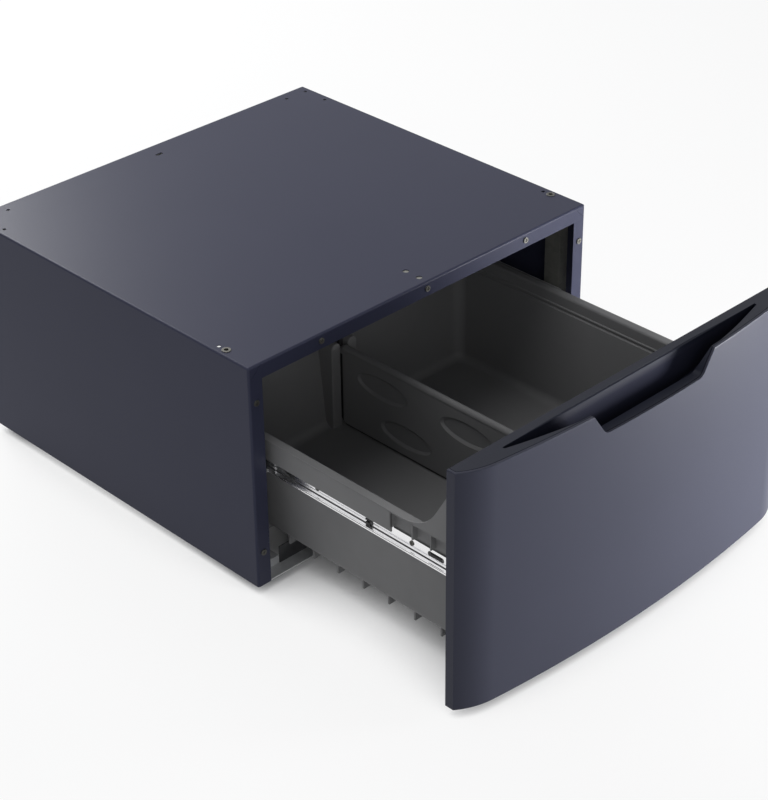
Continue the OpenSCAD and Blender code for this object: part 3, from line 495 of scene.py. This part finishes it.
def disc(radius, depth, centre, axis="Z", segments=32, bevel=0.0):
    bm = bmesh.new()
    bmesh.ops.create_cone(bm, cap_ends=True, segments=segments, radius1=radius, radius2=radius, depth=depth)
    if bevel:
        bevelEdges(bm, [e for e in bm.edges if e.calc_face_angle(0) > 1], bevel, 2)
    if axis == "X":
        bmesh.ops.rotate(bm, cent=(0, 0, 0), matrix=Matrix.Rotation(math.pi / 2, 3, "Y"), verts=bm.verts)
    if axis == "Y":
        bmesh.ops.rotate(bm, cent=(0, 0, 0), matrix=Matrix.Rotation(math.pi / 2, 3, "X"), verts=bm.verts)
    bmesh.ops.translate(bm, vec=centre, verts=bm.verts)
    return bm


def roundedLoop(bm, halfX, y0, y1, z, radius, segments=8):
    # one square face, its corners rounded, its rim kept as a loop of edges
    grid = bmesh.ops.create_grid(bm, x_segments=1, y_segments=1, size=0.5)
    verts = grid["verts"]
    bmesh.ops.scale(bm, vec=(2 * halfX, y1 - y0, 1), verts=verts)
    bmesh.ops.translate(bm, vec=(0, (y0 + y1) / 2, z), verts=verts)
    faces = list({f for v in verts for f in v.link_faces})
    before = set(bm.edges) - {e for f in faces for e in f.edges}
    bmesh.ops.bevel(bm, geom=verts, offset=radius, offset_type="OFFSET", segments=segments, profile=0.5,
                    affect="VERTICES", clamp_overlap=True, material=-1)
    edges = [e for e in bm.edges if e not in before]
    faces = list({f for e in edges for f in e.link_faces})
    bmesh.ops.delete(bm, geom=faces, context="FACES_ONLY")
    return edges


def loftLoops(sections, fillFirst=True, fillLast=True):
    # sections: (halfX, y0, y1, z, radius), bridged one after another
    bm = bmesh.new()
    loops = []
    for section in sections:
        known = set(bm.edges)
        roundedLoop(bm, *section)
        loops.append([e for e in bm.edges if e not in known])
    if fillFirst:
        bmesh.ops.contextual_create(bm, geom=loops[0])
    for lower, upper in zip(loops, loops[1:]):
        bmesh.ops.bridge_loops(bm, edges=lower + upper)
    if fillLast:
        bmesh.ops.contextual_create(bm, geom=loops[-1])
    bmesh.ops.recalc_face_normals(bm, faces=bm.faces)
    return bm


def prism(points, depth, axis):
    # a flat outline of a few corners, given a thickness along one axis
    bm = bmesh.new()
    verts = [bm.verts.new(p) for p in points]
    edges = [bm.edges.new(pair) for pair in zip(verts, verts[1:] + verts[:1])]
    face = bmesh.ops.contextual_create(bm, geom=edges)["faces"]
    moved = bmesh.ops.extrude_face_region(bm, geom=face)["geom"]
    step = {"X": (depth, 0, 0), "Y": (0, depth, 0), "Z": (0, 0, depth)}[axis]
    bmesh.ops.translate(bm, vec=step, verts=[g for g in moved if isinstance(g, bmesh.types.BMVert)])
    bmesh.ops.recalc_face_normals(bm, faces=bm.faces)
    return bm


def bentSheet(points, bends, y0, y1, thick, segments=4):
    # a strip folded along Y: corners of its profile in X and Z, each rounded, then extruded
    bm = bmesh.new()
    last = bm.verts.new((points[0][0], y0, points[0][1]))
    corners = []
    for x, z in points[1:]:
        made = bmesh.ops.extrude_vert_indiv(bm, verts=[last])["verts"][0]
        made.co = (x, y0, z)
        corners.append(made)
        last = made
    bmesh.ops.bevel(bm, geom=corners[:-1], offset=bends, offset_type="OFFSET", segments=segments, profile=0.5,
                    affect="VERTICES", clamp_overlap=True, material=-1)
    moved = bmesh.ops.extrude_edge_only(bm, edges=bm.edges[:])["geom"]
    bmesh.ops.translate(bm, vec=(0, y1 - y0, 0), verts=[g for g in moved if isinstance(g, bmesh.types.BMVert)])
    bmesh.ops.recalc_face_normals(bm, faces=bm.faces)
    bmesh.ops.solidify(bm, geom=bm.faces[:], thickness=thick)
    return bm


def mirrored(bm):
    bmesh.ops.scale(bm, vec=(-1, 1, 1), verts=bm.verts)
    bmesh.ops.reverse_faces(bm, faces=bm.faces)
    return bm


def fromCad(node, slot, width=0.3, segments=2, angle=30, name=None, sharp=35):
    # a copy of a CAD node with its loose triangles joined and its edges broken
    body = frame["nodes"][node]["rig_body"]
    bm = bmesh.new()
    bm.from_mesh(frame["nodes"][node].data)
    bmesh.ops.remove_doubles(bm, verts=bm.verts, dist=0.000002)
    bmesh.ops.dissolve_limit(bm, angle_limit=math.radians(0.05), verts=bm.verts, edges=bm.edges)
    if width:
        bevelEdges(bm, sharpEdges(bm, angle), width / 1000, segments)
    return finishPiece(name or node + "_made", bm, body, slot, replaced=(node,), sharp=sharp)


# ---- cabinet ----

wrapSet = {
    "halfX": 355.5, "depth": 660, "height": 378, "sheet": 1.2, "fold": 3.5,
    "frontFlange": 25, "backFlange": 14,
    "holes": [(sx * 342, y, 3.0) for sx in (-1, 1) for y in (77, 588, 638)]
    + [(sx * 298, 638, 3.0) for sx in (-1, 1)]
    + [(0, 17.2, 5.0), (0, 45.4, 5.0)],
    "ringHole": (342, 61, 4.5),
}


def makeWrap():
    s = wrapSet
    bm = block(-s["halfX"], s["halfX"], 0, s["depth"], 0, s["height"])
    bottom = [f for f in bm.faces if f.normal.z < -0.9]
    bmesh.ops.delete(bm, geom=bottom, context="FACES")
    folds = [e for e in bm.edges if len(e.link_faces) == 2]
    bevelEdges(bm, folds, s["fold"], 4)
    for side in (0, s["depth"]):
        flange = s["frontFlange"] if side == 0 else s["backFlange"]
        openX, openZ = s["halfX"] - flange, s["height"] - flange
        for point, normal in (((openX, 0, 0), (1, 0, 0)), ((-openX, 0, 0), (1, 0, 0)), ((0, 0, openZ), (0, 0, 1))):
            flat = [f for f in bm.faces if abs(f.calc_center_median().y - side) < 0.01]
            region = list({g for f in flat for g in [f, *f.edges, *f.verts]})
            bmesh.ops.bisect_plane(bm, geom=region, plane_co=point, plane_no=normal, dist=0.001)
        inside = [f for f in bm.faces if abs(f.calc_center_median().y - side) < 0.01
                  and abs(f.calc_center_median().x) < openX and f.calc_center_median().z < openZ]
        bmesh.ops.delete(bm, geom=inside, context="FACES")
    bmesh.ops.solidify(bm, geom=bm.faces[:], thickness=s["sheet"])
    tools = bmesh.new()
    for x, y, radius in s["holes"]:
        joinInto(tools, disc(radius, 8, (x, y, s["height"]), segments=24))
    x, y, radius = s["ringHole"]
    for side in (-1, 1):
        joinInto(tools, disc(radius, 8, (side * x, y, s["height"]), segments=24))
    slot = block(-7, 7, 622, 628, s["height"] - 4, s["height"] + 4)
    bevelEdges(slot, [e for e in slot.edges if abs(e.verts[0].co.z - e.verts[1].co.z) > 1], 2.9, 6)
    joinInto(tools, slot)
    bm = cutWith(bm, tools)
    # the seams where the front flange's strips meet at its upper corners
    half = s["frontFlange"] / 2
    seams = bmesh.new()
    for side in (-1, 1):
        seam = block(-20, 20, -1, 0.45, -0.45, 0.45)
        bmesh.ops.rotate(seam, cent=(0, 0, 0), matrix=Matrix.Rotation(math.radians(side * 45), 3, "Y"), verts=seam.verts)
        bmesh.ops.translate(seam, vec=(side * (s["halfX"] - half), 0, s["height"] - half), verts=seam.verts)
        joinInto(seams, seam)
    bm = cutWith(bm, seams)
    finishPiece("cabinet_shell", bm, "cabinet", "paint", cabinetShift, ["cabinet_wrap"], sharp=30)


def makeEyelets():
    # bare rings pressed into the deck's front corners, each with a round hole
    bm = bmesh.new()
    for side in (-1, 1):
        ring = disc(7, 2.4, (side * 342, 61, 378), segments=32)
        ring = cutWith(ring, disc(3.4, 8, (side * 342, 61, 378), segments=32))
        bevelEdges(ring, sharpEdges(ring, 60), 0.6, 3)
        joinInto(bm, ring)
    finishPiece("deck_eyelets", bm, "cabinet", "screw_zinc", cabinetShift)


makeWrap()
makeEyelets()
print("cabinet shell made")

for node in ("front_base_rail", "rear_base_rail"):
    rail = fromCad(node, "galvanised", 0.4)
    # the rail's faces above 18 mm, its upright web, take the dark copy of the coat: painted shade under the drawer
    rail.data.materials.append(paintedShadeSteel)
    for face in rail.data.polygons:
        if face.center.z > 0.018:
            face.material_index = 1
# the top rails and posts take a darker copy of the coat: painted shade under the deck
for node in ("front_top_rail", "rear_top_rail", "left_front_post", "right_front_post", "left_rear_post",
             "right_rear_post"):
    fromCad(node, "half_shade_steel", 0.4)
for node in ("left_base_rail", "right_base_rail", "left_slide_support", "right_slide_support", "foot_brackets", "front_back_plate"):
    fromCad(node, "galvanised", 0.4)
fromCad("back_panel", "paint", 0.3)
for node in ("foot_weld_nuts", "foot_lock_nuts", "flange_screws", "back_screws", "support_screws",
             "slide_screws", "front_screws"):
    fromCad(node, "screw_zinc", 0.35)
for corner in ("front_left", "front_right", "rear_left", "rear_right"):
    fromCad(corner + "_foot", "screw_zinc", 0.4)
    fromCad(corner + "_pad", "rubber", 0.8)
print("rails, posts, feet and screws made")


# ---- slides ----

slideSet = {
    "z": 188.5, "y0": 25, "y1": 585, "thick": 1.2, "bend": 1.3,
    "web": [(308.6, 198.6), (308.6, 200.1), (300.1, 200.1), (300.1, 179.4)],
    "foot": [(300.4, 176.5), (308.6, 176.5), (308.6, 178.6)],
    "bead": (308.0, 309.2, 174.5, 176.4), "noseEnd": 150,
    "outer": [(301.3, 206.6), (311.4, 206.6), (311.4, 170.4), (301.3, 170.4)],
    "slot": (52.5, 83.5, 8),
}


def makeSlides():
    s = slideSet
    for side, name in ((-1, "left"), (1, "right")):
        inner = bentSheet(s["web"], s["bend"], s["y0"], s["y1"], s["thick"])
        inner = cutWith(inner, block(299, 312, s["y0"] - 5, s["noseEnd"], 197, 205))
        joinInto(inner, bentSheet(s["foot"], s["bend"], s["y0"], s["y1"], s["thick"]))
        x0, x1, z0, z1 = s["bead"]
        joinInto(inner, block(x0, x1, s["y0"], s["y1"], z0, z1, 0.45, 3))
        y0, y1, height = s["slot"]
        slot = block(290, 306, y0, y1, s["z"] - height / 2, s["z"] + height / 2)
        bevelEdges(slot, [e for e in slot.edges if abs(e.verts[0].co.x - e.verts[1].co.x) > 1], height / 2 - 0.1, 6)
        inner = cutWith(inner, slot)
        outer = bentSheet(s["outer"], 2.0, s["y0"], s["y1"], s["thick"])
        if side < 0:
            mirrored(inner)
            mirrored(outer)
        finishPiece(name + "_inner_slide", inner, "drawer", "zinc", drawerShift, [name + "_drawer_slide"])
        finishPiece(name + "_outer_slide", outer, "cabinet", "zinc", cabinetShift, [name + "_cabinet_slide"])
        fromCad(name + "_ball_cage", "galvanised", 0.2)
        fromCad(name + "_balls", "zinc", 0)
        fromCad(name + "_slide_clip", "black_plastic", 0.4)
        fromCad(name + "_release_lever", "black_plastic", 0.4)


makeSlides()
print("slides made")


# ---- moulded bin ----

binSet = {
    "halfX": 303, "y0": -3, "y1": 606, "wall": 3, "rim": 236, "floor": 43, "draft": 21,
    "outFillet": 18, "inFillet": 15, "corner": 20, "rimWide": 12.5, "skirt": 35, "skirtThick": 2.5,
    "recessY": 140.9, "frontTop": 345,
}


def binSection(inset, z, corner):
    s = binSet
    front = max(inset, 0)
    return (s["halfX"] - inset, s["y0"] + front, s["y1"] - inset, z, max(corner, 1))


def makeBinBody():
    s = binSet
    lean = s["draft"] / (s["rim"] - s["floor"])
    tilt = math.atan(lean)
    steps = 6

    def fillet(radius, wallInset, low):
        # from the floor round to the leaning wall
        middle = wallInset + lean * (s["rim"] - low - radius) + radius * math.sqrt(1 + lean ** 2)
        made = []
        for i in range(steps + 1):
            a = (math.pi / 2 - tilt) * i / steps
            made.append((middle - radius * math.sin(a), low + radius * (1 - math.cos(a))))
        return made

    def wallAt(z, base):
        return base + lean * (s["rim"] - z)

    inner = fillet(s["inFillet"], s["wall"], s["floor"] + s["wall"])
    path = [(inner[0][0] + 40, inner[0][1])] + inner
    path += [(wallAt(208.6, 3), 208.6), (wallAt(209.4, 3) - 0.6, 209.4), (3.3, 210.2), (3.2, 213.6),
             (4.9, 214.4), (5.2, 215.2), (5.1, 216.2), (4.6, 216.9), (3.6, 217.2), (3.1, 217.6), (3, 219)]
    path += [(3, 232.6), (2.6, 234.2), (1.6, 235.4), (0.2, 236), (-1.4, 235.9), (-10.8, 235.9),
             (-12, 235.5), (-12.5, 234.6), (-12.5, 233.5), (-0.2, 233.5), (0.3, 232.8)]
    outer = fillet(s["outFillet"], 0, s["floor"])
    path += [p for p in reversed(outer)] + [(outer[0][0] + 40, s["floor"])]
    sections = []
    for inset, z in path:
        corner = 17.5 if inset > 2 else 20
        if inset < 0:
            corner = 20 - inset * 0.2
        sections.append(binSection(inset, z, corner))
    return loftLoops(sections)


def makeSkirt():
    s = binSet
    halfX = s["halfX"] + s["rimWide"]
    bm = bmesh.new()
    edges = roundedLoop(bm, halfX, -150, s["y1"] + s["rimWide"], s["rim"] - s["skirt"], 20)
    region = list({g for e in edges for g in [e, *e.verts]})
    bmesh.ops.bisect_plane(bm, geom=region, plane_co=(0, s["recessY"], 0), plane_no=(0, 1, 0), clear_inner=True)
    moved = bmesh.ops.extrude_edge_only(bm, edges=bm.edges[:])["geom"]
    bmesh.ops.translate(bm, vec=(0, 0, s["skirt"] - 1.5),
                        verts=[g for g in moved if isinstance(g, bmesh.types.BMVert)])
    bmesh.ops.recalc_face_normals(bm, faces=bm.faces)
    middle = Vector((0, 400, 220))
    face = max(bm.faces, key=lambda f: f.calc_area())
    if (face.calc_center_median() - middle).dot(face.normal) < 0:
        bmesh.ops.reverse_faces(bm, faces=bm.faces)
    bmesh.ops.solidify(bm, geom=bm.faces[:], thickness=s["skirtThick"])
    bevelEdges(bm, sharpEdges(bm, 60), 0.7, 2)
    tools = bmesh.new()
    for side in (-1, 1):
        x0, x1 = sorted((side * 299.2, side * 317))
        joinInto(tools, block(x0, x1, 606, 622, 190, 208.4))
    return cutWith(bm, tools)


def makeWing(side):
    # the rim sweeps up to the drawer front along an arc
    s = binSet
    run = (s["frontTop"] - s["rim"]) / math.tan(math.radians(60))
    tangent = 70 * math.tan(math.radians(30))
    bm = bmesh.new()
    start = bm.verts.new((0, 77.5 + tangent, s["rim"]))
    bmesh.ops.spin(bm, geom=[start], cent=(0, 77.5 + tangent, s["rim"] + 70), axis=(1, 0, 0),
                   angle=math.radians(-60), steps=12)
    chain = sorted(bm.verts, key=lambda v: -v.co.y)
    last = chain[-1]
    for y, z in ((77.5 - run + 4, s["frontTop"] - 7), (s["y0"] + 2, s["frontTop"] - 0.3),
                 (s["y0"], s["rim"] - 2.4), (77.5 + tangent, s["rim"] - 2.4)):
        last = bmesh.ops.extrude_vert_indiv(bm, verts=[last])["verts"][0]
        last.co = (0, y, z)
    bm.edges.new((last, start))
    bmesh.ops.contextual_create(bm, geom=bm.edges[:])
    moved = bmesh.ops.extrude_face_region(bm, geom=bm.faces[:])["geom"]
    bmesh.ops.translate(bm, vec=(s["skirtThick"], 0, 0), verts=[g for g in moved if isinstance(g, bmesh.types.BMVert)])
    bmesh.ops.recalc_face_normals(bm, faces=bm.faces)
    bevelEdges(bm, sharpEdges(bm, 60), 0.8, 2)
    bmesh.ops.translate(bm, vec=(s["halfX"] + s["rimWide"] - s["skirtThick"], 0, 0), verts=bm.verts)
    if side < 0:
        mirrored(bm)
    return bm


def makeBin():
    s = binSet
    bm = makeBinBody()
    joinInto(bm, makeSkirt())
    joinInto(bm, block(-315.5, 315.5, -3, 0, 233.6, 345, 0.8))
    for side in (-1, 1):
        joinInto(bm, makeWing(side))
        x0, x1 = sorted((side * 303.5, side * 306))
        joinInto(bm, block(x0, x1, -3, 142, 208, 234.5, 0.6))
        g0, g1 = sorted((side * 304, side * 315.5))
        for y in (65, 100.2):
            joinInto(bm, block(g0, g1, y - 1.25, y + 1.25, 208, 234.5, 0.5))
        joinInto(bm, block(g0, g1, 140.9, 143.4, 208, 234.5, 0.5))
        for y in (114.6, 305, 517.8):
            joinInto(bm, disc(8, 3, (side * 297.9, y, 188.5), "X"))
        b0, b1 = sorted((side * 296.4, side * 299.4))
        joinInto(bm, block(b0, b1, 50.5, 85.5, 180.5, 196.5, 1))
    for i in range(-3, 7):
        y = 237.5 + 52.9 * i
        ends = [(-279, 34), (279, 34), (279, 50), (268, 44.5), (-268, 44.5), (-279, 50)]
        joinInto(bm, prism([(x, y - 1.5, z) for x, z in ends], 3, "Y"))
    for side in (-1, 1):
        for front in (True, False):
            y0, y1 = (-1.5, 37) if front else (566, 604.5)
            guide = block(-9.6, 9.6, y0, y1, 44, 200.5)
            bevelEdges(guide, [e for e in guide.edges if abs(e.verts[0].co.y - e.verts[1].co.y) > 1
                               and e.verts[0].co.z > 200], 9, 8)
            bevelEdges(guide, [e for e in sharpEdges(guide, 60) if min(v.co.z for v in e.verts) > 40], 2.2, 4)
            bmesh.ops.translate(guide, vec=(side * 17.8, 0, 0), verts=guide.verts)
            joinInto(bm, guide)
    return bm


finishPiece("moulded_bin", makeBin(), "drawer", "bin_plastic", drawerShift, ["drawer_bin"], sharp=32)


dividerSet = {
    "half": 5.5, "low": 48.6, "top": 187, "bead": 6.2, "beadY": (38.3, 564.7), "y0": 3.9, "y1": 599.1,
    "cut": 18, "lean": 21 / 193, "rim": 236,
    "ovals": [(475.7, 149.5), (293.2, 149.5), (110.7, 149.5), (423.7, 84), (241.2, 84), (58.7, 84)],
    "ovalHalf": (56, 20), "slope": 5.0, "deep": 3.4,
    # dark: where the divider's faces take black plastic, painted shade in the gaps at its foot and inside the guides
    "dark": {"low": 50.6, "high": 178, "ends": (37.6, 565.4)},
}


def makeDivider():
    # a plate with pressed ovals on both faces and a round bead along its top
    s = dividerSet
    inLow = s["lean"] * (s["rim"] - s["low"])
    inTop = s["lean"] * (s["rim"] - s["top"])
    low, high = s["low"], s["low"] + s["cut"]
    outline = [(s["y0"] + inLow + s["cut"], low), (s["y1"] - inLow - s["cut"], low), (s["y1"] - inLow, high),
               (s["y1"] - inTop, s["top"]), (s["y0"] + inTop, s["top"]), (s["y0"] + inLow, high)]
    bm = prism([(-s["half"], y, z) for y, z in outline], 2 * s["half"], "X")
    bevelEdges(bm, [e for e in bm.edges if abs(e.verts[0].co.x - e.verts[1].co.x) > 1
                    and min(v.co.z for v in e.verts) < high + 1], 5, 4)
    y0, y1 = s["beadY"]
    bm = cutWith(bm, disc(s["bead"], y1 - y0, (0, (y0 + y1) / 2, s["top"]), "Y", 48), "UNION")
    a, b = s["ovalHalf"]
    tools = bmesh.new()
    for side in (-1, 1):
        for y, z in s["ovals"]:
            cone = bmesh.new()
            bmesh.ops.create_cone(cone, cap_ends=True, segments=72, radius1=1, radius2=1, depth=1)
            bmesh.ops.translate(cone, vec=(0, 0, 0.5), verts=cone.verts)
            for v in cone.verts:
                deep = v.co.z < 0.5
                v.co = (v.co.x * (a - s["slope"] if deep else a), v.co.y * (b - s["slope"] if deep else b),
                        -s["deep"] if deep else 0.001)
            bmesh.ops.rotate(cone, cent=(0, 0, 0), matrix=Matrix(((0, 0, 1), (1, 0, 0), (0, 1, 0))), verts=cone.verts)
            bmesh.ops.translate(cone, vec=(s["half"], y, z), verts=cone.verts)
            if side < 0:
                mirrored(cone)
            joinInto(tools, cone)
    bm = cutWith(bm, tools)
    bevelEdges(bm, sharpEdges(bm, 20), 0.9, 3)
    # faces at the foot and inside the guides get the second slot, painted shade
    dark = s["dark"]
    near, far = dark["ends"]
    for spot, way in (((0, 0, dark["low"]), (0, 0, 1)), ((0, 0, dark["high"]), (0, 0, 1)),
                      ((0, near, 0), (0, 1, 0)), ((0, far, 0), (0, 1, 0))):
        bmesh.ops.bisect_plane(bm, geom=bm.verts[:] + bm.edges[:] + bm.faces[:], plane_co=spot, plane_no=way)
    for face in bm.faces:
        middle = face.calc_center_median()
        inSlot = not near < middle.y < far and middle.z < dark["high"]
        if middle.z < dark["low"] or inSlot:
            face.material_index = 1
    return bm


divider = finishPiece("divider_made", makeDivider(), "divider", "bin_plastic", drawerShift, ["divider"], sharp=40)
# its foot and the ends inside the guides take black plastic, painted shade for the gaps there
divider.data.materials.append(blackPlastic)
fromCad("divider_clip", "black_plastic", 0.5)
print("bin made")


# ---- drawer front ----

frontSet = {
    "halfX": 355.5, "thick": 56.3, "bulge": 2400, "cornerX": 300, "corner": 115,
    "low": 1, "top": 391, "skin": 1, "edge": 4, "gap": 3,
    "notchLow": 354, "notchTopW": 256, "notchLowW": 206, "hem": 3.6,
}


def frontPlan(bm, inset, z, closed=False, back=0.0):
    # the front's outline seen from above, from one back corner round to the other
    s = frontSet
    tilt = math.asin(s["cornerX"] / s["bulge"])
    cornerV = s["thick"] - s["bulge"] + math.sqrt(s["bulge"] ** 2 - s["cornerX"] ** 2)
    smallX = s["cornerX"] - s["corner"] * math.sin(tilt)
    smallY = cornerV - s["corner"] * math.cos(tilt)
    x = s["halfX"] - inset
    radius = s["corner"] - inset
    turn = math.asin((x - smallX) / radius)
    known = set(bm.verts)
    vert = bm.verts.new((-x, -back, z))
    first = vert
    vert = bmesh.ops.extrude_vert_indiv(bm, verts=[vert])["verts"][0]
    vert.co = (-x, -(smallY + radius * math.cos(turn)), z)

    def spinFrom(vert, centre, angle, steps):
        made = bmesh.ops.spin(bm, geom=[vert], cent=(*centre, z), axis=(0, 0, 1), angle=angle, steps=steps)
        return [g for g in made["geom_last"] if isinstance(g, bmesh.types.BMVert)][0]

    vert = spinFrom(vert, (-smallX, -smallY), turn - tilt, 14)
    vert = spinFrom(vert, (0, s["bulge"] - s["thick"]), 2 * tilt, 48)
    vert = spinFrom(vert, (smallX, -smallY), turn - tilt, 14)
    vert = bmesh.ops.extrude_vert_indiv(bm, verts=[vert])["verts"][0]
    vert.co = (x, -back, z)
    made = [v for v in bm.verts if v not in known]
    if closed:
        bm.edges.new((vert, first))
    return list({e for v in made for e in v.link_edges})


def makeFrontSkin():
    s = frontSet
    bm = bmesh.new()
    rows = []
    for inset, z in ((s["edge"], s["low"]), (1.2, s["low"]), (0.5, s["low"] + 0.2), (0.15, s["low"] + 0.6),
                     (0, s["low"] + 1.4), (0, s["top"] - 2), (0.2, s["top"] - 1), (0.7, s["top"] - 0.3),
                     (1.6, s["top"]), (s["edge"], s["top"])):
        rows.append(frontPlan(bm, inset, z))
    for lower, upper in zip(rows, rows[1:]):
        bmesh.ops.bridge_loops(bm, edges=lower + upper)
    bmesh.ops.recalc_face_normals(bm, faces=bm.faces)
    face = max(bm.faces, key=lambda f: f.calc_area())
    if face.normal.dot(face.calc_center_median() - Vector((0, 100, 196))) < 0:
        bmesh.ops.reverse_faces(bm, faces=bm.faces)
    bmesh.ops.solidify(bm, geom=bm.faces[:], thickness=s["skin"])
    bm = cutWith(bm, notchTool(0))
    # the hem turned in round the notch
    hem = cutWith(planBand(0.4, s["hem"], s["notchLow"] - 8, s["top"] - 0.4), notchTool(3.5), "INTERSECT")
    hem = cutWith(hem, notchTool(0))
    bevelEdges(hem, sharpEdges(hem, 50), 0.4, 2)
    joinInto(bm, hem)
    for side in (-1, 1):
        x0, x1 = sorted((side * 342.5, side * 354.6))
        joinInto(bm, block(x0, x1, -1, 0, 1, 376.7))
    return bm


def planBand(outer, inner, z0, z1):
    # a band that follows the front's outline between two insets
    bm = bmesh.new()
    rows = [frontPlan(bm, inset, z, closed=True) for inset, z in
            ((outer, z0), (outer, z1), (inner, z1), (inner, z0))]
    for lower, upper in zip(rows, rows[1:] + rows[:1]):
        bmesh.ops.bridge_loops(bm, edges=lower + upper)
    bmesh.ops.recalc_face_normals(bm, faces=bm.faces)
    return bm


def notchTool(grow, back=25):
    s = frontSet
    low, high = s["notchLowW"] / 2 + grow, s["notchTopW"] / 2 + grow
    rise = 10 * (high - low) / (s["top"] - s["notchLow"])
    z0, z1 = s["notchLow"] - grow, s["top"] + 10
    bm = prism([(-low, -back, z0), (low, -back, z0), (high + rise, -back, z1), (-high - rise, -back, z1)],
               back - 65, "Y")
    bevelEdges(bm, [e for e in bm.edges if abs(e.verts[0].co.y - e.verts[1].co.y) > 10
                    and e.verts[0].co.z < z0 + 1], 7, 6)
    return bm


capSet = {
    "wall": 4.8, "shoulder": 0.6, "thick": 1.7, "deep": 68.6, "back": 15, "front": 36.4, "step": 2.2,
    "tipX": 267, "tipWide": 4, "arcR": 960, "bowlX": 284, "bowlDeep": 66, "lipX": 100, "lipDeep": 37,
    "fade": ((-235, 0.04), (-140, 1), (120, 1), (225, 0.04)),
}


def planBlock(inset, z0, z1):
    bm = bmesh.new()
    rows = [frontPlan(bm, inset, z, closed=True) for z in (z0, z1)]
    bmesh.ops.bridge_loops(bm, edges=rows[0] + rows[1])
    for row in rows:
        bmesh.ops.contextual_create(bm, geom=row)
    bmesh.ops.recalc_face_normals(bm, faces=bm.faces)
    return bm


def scoopUpper(top):
    # the lens seen from above, drawn together towards the two ends of the lip
    s = capSet
    reach = s["arcR"] - math.sqrt(s["arcR"] ** 2 - s["tipX"] ** 2)
    centreV = s["back"] + s["tipWide"] + reach - s["arcR"]
    lens = disc(s["arcR"], 20, (0, -centreV, top + 10), segments=512)
    lens = cutWith(lens, block(-s["tipX"], s["tipX"], -80, -s["back"], top - 1, top + 30), "INTERSECT")
    lens = cutWith(lens, planBlock(s["wall"] + s["thick"], top - 2, top + 32), "INTERSECT")
    for x in (-s["lipX"], s["lipX"]):
        for v in (s["back"], s["front"]):
            lens.verts.new((x, -v, top - s["lipDeep"]))
    hull = bmesh.ops.convex_hull(lens, input=lens.verts[:])
    gone = {g for g in hull["geom_interior"] + hull["geom_unused"] if isinstance(g, bmesh.types.BMVert)}
    bmesh.ops.delete(lens, geom=list(gone), context="VERTS")
    kept = {g for g in hull["geom"] if isinstance(g, bmesh.types.BMFace)}
    bmesh.ops.delete(lens, geom=[f for f in lens.faces if f not in kept], context="FACES_ONLY")
    bmesh.ops.dissolve_limit(lens, angle_limit=math.radians(0.3), verts=lens.verts, edges=lens.edges)
    bmesh.ops.recalc_face_normals(lens, faces=lens.faces)
    return lens


def scoopLower(top):
    # the pocket proper: a straight back, a straight run to each end, a floor that rises to both ends
    s = capSet
    x, v0, v1 = s["tipX"], s["back"], s["front"]
    plan = [(-x, v0), (x, v0), (x, v0 + s["tipWide"]), (s["lipX"], v1), (-s["lipX"], v1), (-x, v0 + s["tipWide"])]
    bm = prism([(a, -b, top - 90) for a, b in plan], 120, "Z")
    bowl = (s["bowlX"] ** 2 + s["bowlDeep"] ** 2) / (2 * s["bowlDeep"])
    bm = cutWith(bm, disc(bowl, 200, (0, -30, top - s["bowlDeep"] + bowl), "Y", 512), "INTERSECT")
    bevelEdges(bm, [e for e in sharpEdges(bm, 50) if max(v.co.z for v in e.verts) < top - 1
                    and min(abs(v.co.x) for v in e.verts) < 200], 6, 5)
    return bm


def scoopEdge(top):
    # a fine step and a rounding along the middle of the pocket's back edge, faded out at both ends
    s = capSet
    shape = [(-s["step"], 2), (-s["step"], -0.7), (-0.9, -1.0), (0.6, -2.2), (1.8, -4.4), (2.3, -7.5), (4, -7.5), (4, 2)]
    (x0, small), (x1, _), (x2, _), (x3, _) = s["fade"]
    bm = prism([(x1, -(s["back"] + a), top + b) for a, b in shape], x2 - x1, "X")
    for near, far in ((x1, x0), (x2, x3)):
        end = [f for f in bm.faces if all(abs(v.co.x - near) < 0.01 for v in f.verts)]
        made = bmesh.ops.extrude_face_region(bm, geom=end)["geom"]
        bmesh.ops.delete(bm, geom=end, context="FACES_ONLY")
        for v in made:
            if isinstance(v, bmesh.types.BMVert):
                down = v.co.z - top
                v.co = (far, -s["back"] + (v.co.y + s["back"]) * small, top + (down * small if down < 0 else down))
    bmesh.ops.recalc_face_normals(bm, faces=bm.faces)
    return bm


def makeCap():
    s, top = capSet, frontSet["top"]
    bm = bmesh.new()
    rows = [frontPlan(bm, inset, z, closed=True) for inset, z in
            ((s["wall"], top - s["deep"]), (s["wall"], top - s["shoulder"]), (s["wall"] + s["shoulder"], top))]
    for lower, upper in zip(rows, rows[1:]):
        bmesh.ops.bridge_loops(bm, edges=lower + upper)
    for row in (rows[0], rows[-1]):
        bmesh.ops.contextual_create(bm, geom=row)
    bmesh.ops.recalc_face_normals(bm, faces=bm.faces)
    for tool in (notchTool(0, s["front"] - 0.4), scoopUpper(top), scoopLower(top), scoopEdge(top)):
        bm = cutWith(bm, tool)
    bmesh.ops.remove_doubles(bm, verts=bm.verts, dist=0.01)
    bmesh.ops.dissolve_limit(bm, angle_limit=math.radians(0.2), verts=bm.verts, edges=bm.edges)
    return bm


finishPiece("front_skin_made", makeFrontSkin(), "drawer", "lit_front_paint", drawerShift - Vector((0, 3, 0)), ["front_skin"], sharp=30)
finishPiece("handle_cap_made", makeCap(), "drawer", "cap_plastic", drawerShift - Vector((0, 3, 0)), ["handle_cap"], sharp=30)
fromCad("bottom_cap", "cap_plastic", 0.3)
print("drawer front made")
